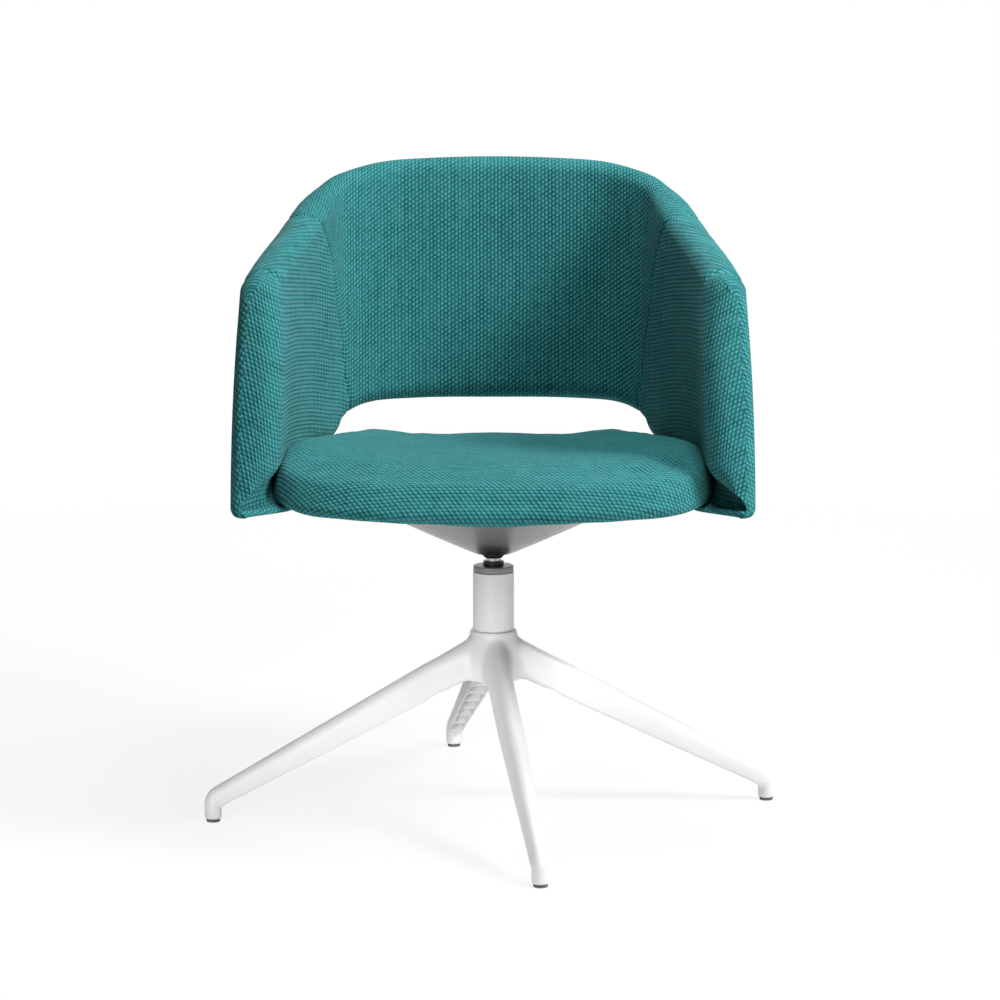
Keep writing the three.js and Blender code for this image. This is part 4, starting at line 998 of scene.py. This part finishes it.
# Arch section of a leg: a ridge above, upright sides and a flat underside with rounded edges
ARCH = even_loop(ARCH_SHARES, 600, 48)
ARCH_ANGLES = np.arctan2(ARCH[:, 1], ARCH[:, 0])
POST = np.column_stack([np.cos(ARCH_ANGLES), np.sin(ARCH_ANGLES)])


def leg_top(r):
    return LEG_TOPS[0] + (LEG_TOPS[1] - LEG_TOPS[0]) * (r - LEG_ROOT) / LEG_RUN


def leg_low(r):
    return LEG_LOWS[0] + (LEG_LOWS[1] - LEG_LOWS[0]) * (r - LEG_ROOT) / LEG_RUN


def leg_half(r):
    share = (r - LEG_ROOT) / LEG_RUN
    outward = LEG_HALF + (FOOT_HALF - LEG_HALF) * float(smoothstep(share, 0.3, 1))
    return ROOT_HALF + (outward - ROOT_HALF) * float(smoothstep(share, -0.1, 0.2))


def leg_ring(low, high, half, roundness):
    middle, up = (low + high) / 2, (high - low) / 2
    shape = ARCH * (1 - roundness) + POST * roundness
    return [(middle[0] + up[0] * v, u * half, middle[1] + up[1] * v) for u, v in shape]


def knee_point(side, radius, ends, line, share):
    """Point on the round between a line of the leg and the upright side of its foot."""
    slope = math.atan2(ends[0] - ends[1], LEG_RUN)
    angle = slope + (math.pi / 2 - slope) * share
    centre = side - radius
    height = line(centre + radius * math.sin(slope)) - radius * math.cos(slope)
    return np.array([centre + radius * math.sin(angle), height + radius * math.cos(angle)])


def ring_mesh(rings):
    count = len(rings[0])
    verts = [point for ring in rings for point in ring]
    return verts, ring_faces(len(rings), count) + ring_ends(len(rings), count)


def leg_mesh():
    rings = []
    for r in LEG_ROOT + LEG_RUN * np.linspace(0, 0.93, 34):
        low, high = np.array([r, leg_low(r)]), np.array([r, leg_top(r)])
        rings.append(leg_ring(low, high, leg_half(r), 0))
    for t in np.linspace(0, 1, 11):
        high = knee_point(FOOT_OUT, KNEE_OUT, LEG_TOPS, leg_top, t)
        low = knee_point(FOOT_IN, KNEE_IN, LEG_LOWS, leg_low, t)
        half = leg_half(FOOT_IN) * (1 - t) + FOOT_HALF * t
        rings.append(leg_ring(low, high, half, float(smoothstep(t, 0.2, 1))))
    for z, inset in ((9.0, 0), (5.2, 0), (4.2, 0.35), (3.7, 1.2)):
        low, high = np.array([FOOT_IN + inset, z]), np.array([FOOT_OUT - inset, z])
        rings.append(leg_ring(low, high, FOOT_HALF - inset, 1))
    return ring_mesh(rings)


def pocket_mesh(start, end):
    """Rounded pocket between two ribs, cut into the underside of a leg."""
    rings = []
    stops = [(0, 1.6), (1.2, 0.4), (3.0, 0)]
    sections = [(start + move, inset) for move, inset in stops]
    sections += [(end - move, inset) for move, inset in stops[::-1]]
    for r, inset in sections:
        half = leg_half(r) - LEG_WALL - inset
        roof, floor = leg_top(r) - LEG_ROOF - inset, leg_low(r) - BELOW_LEG
        shoulder = floor + (roof - floor) * 0.72
        shape = [(-half, floor), (-half, shoulder)]
        for k in range(1, 8):
            a = math.pi - k / 8 * math.pi
            shape.append((half * math.cos(a), shoulder + (roof - shoulder) * math.sin(a)))
        shape += [(half, shoulder), (half, floor)]
        rings.append([(r, x, z) for x, z in shape])
    return ring_mesh(rings)


def apply_modifier(obj, kind, **settings):
    modifier = obj.modifiers.new(kind.lower(), kind)
    for key, value in settings.items():
        setattr(modifier, key, value)
    bpy.context.view_layer.update()
    evaluated = obj.evaluated_get(bpy.context.evaluated_depsgraph_get())
    mesh = bpy.data.meshes.new_from_object(evaluated)
    obj.modifiers.clear()
    old = obj.data
    obj.data = mesh
    bpy.data.meshes.remove(old)


def combine(obj, operation, other, **settings):
    apply_modifier(obj, "BOOLEAN", operation=operation, object=other, solver="EXACT", **settings)
    bpy.data.objects.remove(other)


def rotated(points, angle):
    c, s = math.cos(angle), math.sin(angle)
    return [(x * c - y * s, x * s + y * c, z) for x, y, z in points]


def coat_object(name, parts):
    """One object of several meshes, each given as points in mm and faces."""
    verts, polys = [], []
    for part_verts, part_polys in parts:
        base = len(verts)
        verts += part_verts
        polys += [tuple(base + index for index in poly) for poly in part_polys]
    obj = make_object(name, np.array(verts) * MM, polys, white_coat, None)
    fix_normals(obj)
    return obj


def build_base():
    leg, leg_polys = leg_mesh()
    base = coat_object("cast_star_base", [(rotated(leg, turn), leg_polys) for turn in LEG_TURNS])
    hub = lathe(
        "hub",
        [
            (0.0, 0.165), (0.033, 0.165), (0.036, 0.168), (0.036, 0.190), (0.0331, 0.2078),
            (0.0296, 0.2192), (0.0284, 0.2255), (0.028, 0.228), (0.0, 0.228),
        ],
        white_coat, None, 96, 0.003,
    )
    combine(base, "UNION", hub, use_self=True)
    pitch = (POCKET_END - POCKET_START) / POCKETS
    pockets = []
    for turn in LEG_TURNS:
        for i in range(POCKETS):
            start = POCKET_START + pitch * i + HALF_RIB
            verts, polys = pocket_mesh(start, start + pitch - 2 * HALF_RIB)
            pockets.append((rotated(verts, turn), polys))
    combine(base, "DIFFERENCE", coat_object("pockets", pockets))
    voxel, rounds, fillet_rounds = ((0.0013, 12, 150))
    apply_modifier(base, "REMESH", mode="VOXEL", voxel_size=voxel)
    apply_modifier(base, "SMOOTH", factor=0.5, iterations=rounds)
    # Fillets where the legs run into the hub: more smoothing there, but not at the collar
    places = places_of(base.data) / MM
    near_hub = 1 - smoothstep(np.hypot(places[:, 0], places[:, 1]), 60, 92)
    near_hub *= (1 - smoothstep(places[:, 2], 213, 223)) * smoothstep(places[:, 2], 125, 150)
    fillet = base.vertex_groups.new(name="fillet")
    for level in range(1, 9):
        chosen = np.nonzero(np.round(near_hub * 8) == level)[0]
        fillet.add([int(index) for index in chosen], level / 8, "REPLACE")
    apply_modifier(base, "SMOOTH", factor=0.5, iterations=fillet_rounds, vertex_group="fillet")
    for name, radius, low, high, segments in (
        ("bore", 0.0253, 0.176, 0.24, 96), ("through", 0.014, 0.15, 0.178, 64)
    ):
        outline = [(0.0, low), (radius, low), (radius, high), (0.0, high)]
        combine(base, "DIFFERENCE", lathe(name, outline, white_coat, None, segments, 0.0))
    base.data.polygons.foreach_set("use_smooth", [True] * len(base.data.polygons))
    base.data.materials.clear()
    base.data.materials.append(white_coat)
    return base


base = build_base()
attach(base, "base")
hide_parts("star_base")

# ---------------------------------------------------------------- column, bearing and spindle

tube = lathe(
    "column_sleeve",
    [(0.022, 0.1763), (0.025, 0.1763), (0.025, 0.2992), (0.022, 0.2992)],
    white_coat, "base", 128, 0.0008, closed=True,
)
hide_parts("column_tube")

cap = lathe(
    "column_end_cap",
    [
        (0.0121, 0.2832), (0.0217, 0.2832), (0.0217, 0.2995), (0.0245, 0.2995),
        (0.0245, 0.307), (0.0121, 0.307),
    ],
    cap_grey, "base", 128, 0.0014, closed=True,
)
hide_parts("column_cap")

bush = lathe(
    "upper_bearing_bush",
    [
        (0.00955, 0.2832), (0.0118, 0.2832), (0.0118, 0.3073), (0.0125, 0.3073),
        (0.0125, 0.3127), (0.00955, 0.3127),
    ],
    bush_black, "base", 96, 0.0008, closed=True,
)
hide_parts("upper_bush")

shaft = lathe(
    "swivel_spindle",
    [
        (0.0, 0.1687), (0.0055, 0.1687), (0.0055, 0.1722), (0.0045, 0.1722), (0.0045, 0.1742),
        (0.0055, 0.1742), (0.0055, 0.1885), (0.00925, 0.1885), (0.00925, 0.396), (0.0, 0.396),
    ],
    spindle_steel, "seat", 96, 0.0004,
)
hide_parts("spindle")

FOOT_CIRCLE = 0.345
for k, angle in enumerate(LEG_TURNS):
    pad = lathe(
        f"foot_pad_{k + 1}",
        [
            (0.0, 0.0), (0.008, 0.0), (0.0084, 0.0008), (0.0084, 0.0034), (0.0040, 0.0034),
            (0.0040, 0.0194), (0.0, 0.0194),
        ],
        pad_grey, "base", 48, 0.0005,
        center=(FOOT_CIRCLE * math.cos(angle), FOOT_CIRCLE * math.sin(angle)),
    )
    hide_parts(f"glide_{k + 1}")

# ---------------------------------------------------------------- swivel plate and cone

PLATE_HALF, PLATE_CORNER, PLATE_LOW, PLATE_HIGH = 85.0, 16.0, 409.0, 413.0


def swivel_plate():
    """Pressed square plate with rounded corners and edges."""
    ring = []
    for x_way, y_way, start in ((1, 1, 0), (-1, 1, 90), (-1, -1, 180), (1, -1, 270)):
        for k in range(9):
            angle = math.radians(start + 90 * k / 8)
            x = x_way * (PLATE_HALF - PLATE_CORNER) + PLATE_CORNER * math.cos(angle)
            ring.append((x, y_way * (PLATE_HALF - PLATE_CORNER) + PLATE_CORNER * math.sin(angle)))
    edge = [(0.9, 0), (0.25, 0.3), (0, 0.9)]
    levels = [(inset, PLATE_LOW + rise) for inset, rise in edge]
    levels += [(inset, PLATE_HIGH - rise) for inset, rise in edge[::-1]]
    rings = []
    for inset, z in levels:
        scale = (PLATE_HALF - inset) / PLATE_HALF
        rings.append([(x * scale * MM, y * scale * MM, z * MM) for x, y in ring])
    verts, polys = ring_mesh(rings)
    return make_object("swivel_plate_pressed", verts, polys, collar_black, "seat", smooth=False)


plate = swivel_plate()
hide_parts("swivel_plate")
collar = lathe(
    "swivel_collar",
    [(0.00955, 0.3165), (0.0106, 0.3165), (0.0136, 0.3195), (0.0136, 0.411), (0.00955, 0.411)],
    collar_black, "seat", 96, 0.0007, closed=True,
)

CONE_SHARES = [(0, 0), (0.3, 0.205), (0.64, 0.45), (0.86, 0.61), (0.96, 0.69), (1, 0.8)]
CONE_TOP, CONE_EDGE, SHEET = (0.022, 0.322), (0.16, 0.413), 0.002
cone_outer = [
    tuple(low + (high - low) * share for low, high, share in zip(CONE_TOP, CONE_EDGE, shares))
    for shares in CONE_SHARES
]
cone_inner = [
    (r - SHEET * i / 5, z + SHEET * (1 - i / 5)) for i, (r, z) in enumerate(cone_outer)
]
cone_flange = [CONE_EDGE, (0.142, 0.413), (0.142, 0.411), (0.158, 0.411)]
cone = lathe(
    "spun_cone_cover",
    [(0.0139, 0.322)] + cone_outer + cone_flange + cone_inner[::-1] + [(0.0139, 0.324)],
    cone_metal, "seat", 160, 0.004, closed=True,
)
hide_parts("cone_cover")

# Shank radius and head height for each head radius
SCREW_SIZES = {0.0065: (0.004, 0.0042), 0.0058: (0.003, 0.003), 0.004: (0.0019, 0.0022)}
SOCKET_SHARE = 0.42


def detailed_screw(name, node):
    """Socket screw in place of the plain one: domed head, hexagon socket and shank."""
    low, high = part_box(node)
    centre = Vector(((low.x + high.x) / 2, (low.y + high.y) / 2))
    head = min(SCREW_SIZES, key=lambda value: abs(value - (high.x - low.x) / 2))
    shank, head_height = SCREW_SIZES[head]
    socket, floor = head * SOCKET_SHARE, low.z + head_height * 0.55
    line = [
        (0.0, floor), (socket, floor), (socket, low.z + 0.0002),
        (head * 0.62, low.z), (head * 0.85, low.z + head_height * 0.12),
        (head, low.z + head_height * 0.45), (head, low.z + head_height),
        (shank, low.z + head_height), (shank, high.z - 0.0006), (shank - 0.0006, high.z),
        (0.0, high.z),
    ]
    obj = lathe(name, line, screw_steel, "seat", 36, 0.00025, center=centre)
    # The socket wall becomes a hexagon
    for vertex in obj.data.vertices:
        offset = vertex.co.xy - centre
        if abs(offset.length - socket) < head * 0.06 and vertex.co.z < floor + 1e-5:
            angle = math.atan2(offset.y, offset.x) % (math.pi / 3) - math.pi / 6
            place = centre + offset * (math.cos(math.pi / 6) / math.cos(angle))
            vertex.co.x, vertex.co.y = place
    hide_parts(node)


for name, node, count in (
    ("cover_socket_screw", "cover_screw", 3),
    ("plate_socket_bolt", "plate_bolt", 4),
    ("shell_socket_screw", "shell_screw", 6),
):
    for k in range(1, count + 1):
        detailed_screw(f"{name}_{k}", f"{node}_{k}")

# ---------------------------------------------------------------- finishes of the plain nodes

FINISHES = {
    "column_foot_plate": collar_black,
    "retaining_ring": collar_black,
    "lower_bush": bush_black,
    "bearing_lower_race": screw_steel,
    "bearing_upper_race": screw_steel,
    "bearing_ball_cage": screw_steel,
    "spindle_washer": screw_steel,
    "seat_board": board_wood,
    "shell_frame": frame_black,
}
FINISHES.update({f"plate_nut_{k}": screw_steel for k in range(1, 5)})
for name, material in FINISHES.items():
    for slot in nodes[name].material_slots:
        slot.material = material

# ---------------------------------------------------------------- floor, light and camera

FLOOR_Z, FLOOR_GLOW = -0.0002, 0.84
WORLD_LIGHT = 0.08


def floor_material():
    """Pale floor that keeps the shadows and fades to white away from the chair."""
    m = Nodes("studio_floor")
    path = m.add("ShaderNodeLightPath").outputs
    seen = m.math("MAXIMUM", path["Is Glossy Ray"], path["Is Transmission Ray"])
    seen = m.math("MAXIMUM", path["Is Camera Ray"], seen)
    place = m.place()
    shade = m.ramp(m.noise(place, 3.0, 2.0), [(0.3, (0.92,) * 3), (0.7, (0.935,) * 3)])
    m.set(color=shade, roughness=0.9, specular=0.1)
    glow = m.add("ShaderNodeEmission", {"Color": (1, 1, 1, 1), "Strength": 1.0})
    away = m.add("ShaderNodeVectorMath", {0: place}, operation="LENGTH").outputs["Value"]
    share = m.math("MULTIPLY", seen, m.span(away, 0.9, 2.6, FLOOR_GLOW, 1.0))
    mix = m.add("ShaderNodeMixShader", {0: share, 1: m.shader.outputs[0], 2: glow.outputs[0]})
    output = next(node for node in m.tree.nodes if node.type == "OUTPUT_MATERIAL")
    m.put(output.inputs["Surface"], mix.outputs[0])
    return m.owner


floor = make_object(
    "studio_floor",
    [(-60, -12, FLOOR_Z), (60, -12, FLOOR_Z), (60, 180, FLOOR_Z), (-60, 180, FLOOR_Z)],
    [(0, 1, 2, 3)],
    floor_material(),
    None,
)

world = Nodes("studio", bpy.data.worlds)
bpy.context.scene.world = world.owner
path = world.add("ShaderNodeLightPath").outputs
seen = world.math("MAXIMUM", path["Is Camera Ray"], path["Is Transmission Ray"])
background = world.tree.nodes["Background"]
world.put(background.inputs["Color"], (1, 1, 1, 1))
world.put(background.inputs["Strength"], world.span(seen, 0.0, 1.0, WORLD_LIGHT, 1.0))


def area_light(name, place, target, size, power, spread=180):
    data = bpy.data.lights.new(name, "AREA")
    data.shape = "RECTANGLE"
    data.size, data.size_y = size
    data.energy = power
    data.spread = math.radians(spread)
    obj = bpy.data.objects.new(name, data)
    bpy.context.scene.collection.objects.link(obj)
    obj.location = place
    way = Vector(target) - Vector(place)
    obj.rotation_euler = way.to_track_quat("-Z", "Y").to_euler()


area_light("key_light", (2.0, -0.95, 2.1), (0, 0, 0.5), (0.8, 0.8), 86)
area_light("base_fill", (-0.8, -1.9, 0.4), (-0.2, 0, 0.07), (0.6, 0.25), 0.46, 17)
area_light("hub_fill", (-0.6, -2.15, 1.02), (-0.03, -0.08, 0.13), (0.3, 0.3), 0.14, 12)
area_light("back_light", (0.0, 2.5, 1.15), (0, 0, 0.35), (2.2, 1.0), 24)
area_light("top_light", (0.25, -0.25, 2.3), (0.05, 0, 0.45), (0.6, 0.6), 28)

CAMERA_PLACE, CAMERA_TILT = (0.008, -3.75, 0.975), 8.91
camera_data = bpy.data.cameras.new("camera")
camera_data.lens = 112.5
camera_data.sensor_width = 36.0
camera = bpy.data.objects.new("camera", camera_data)
bpy.context.scene.collection.objects.link(camera)
camera.location = CAMERA_PLACE
camera.rotation_euler = (math.radians(90 - CAMERA_TILT), 0, 0)
bpy.context.scene.camera = camera
bpy.context.scene.view_settings.view_transform = "Standard"
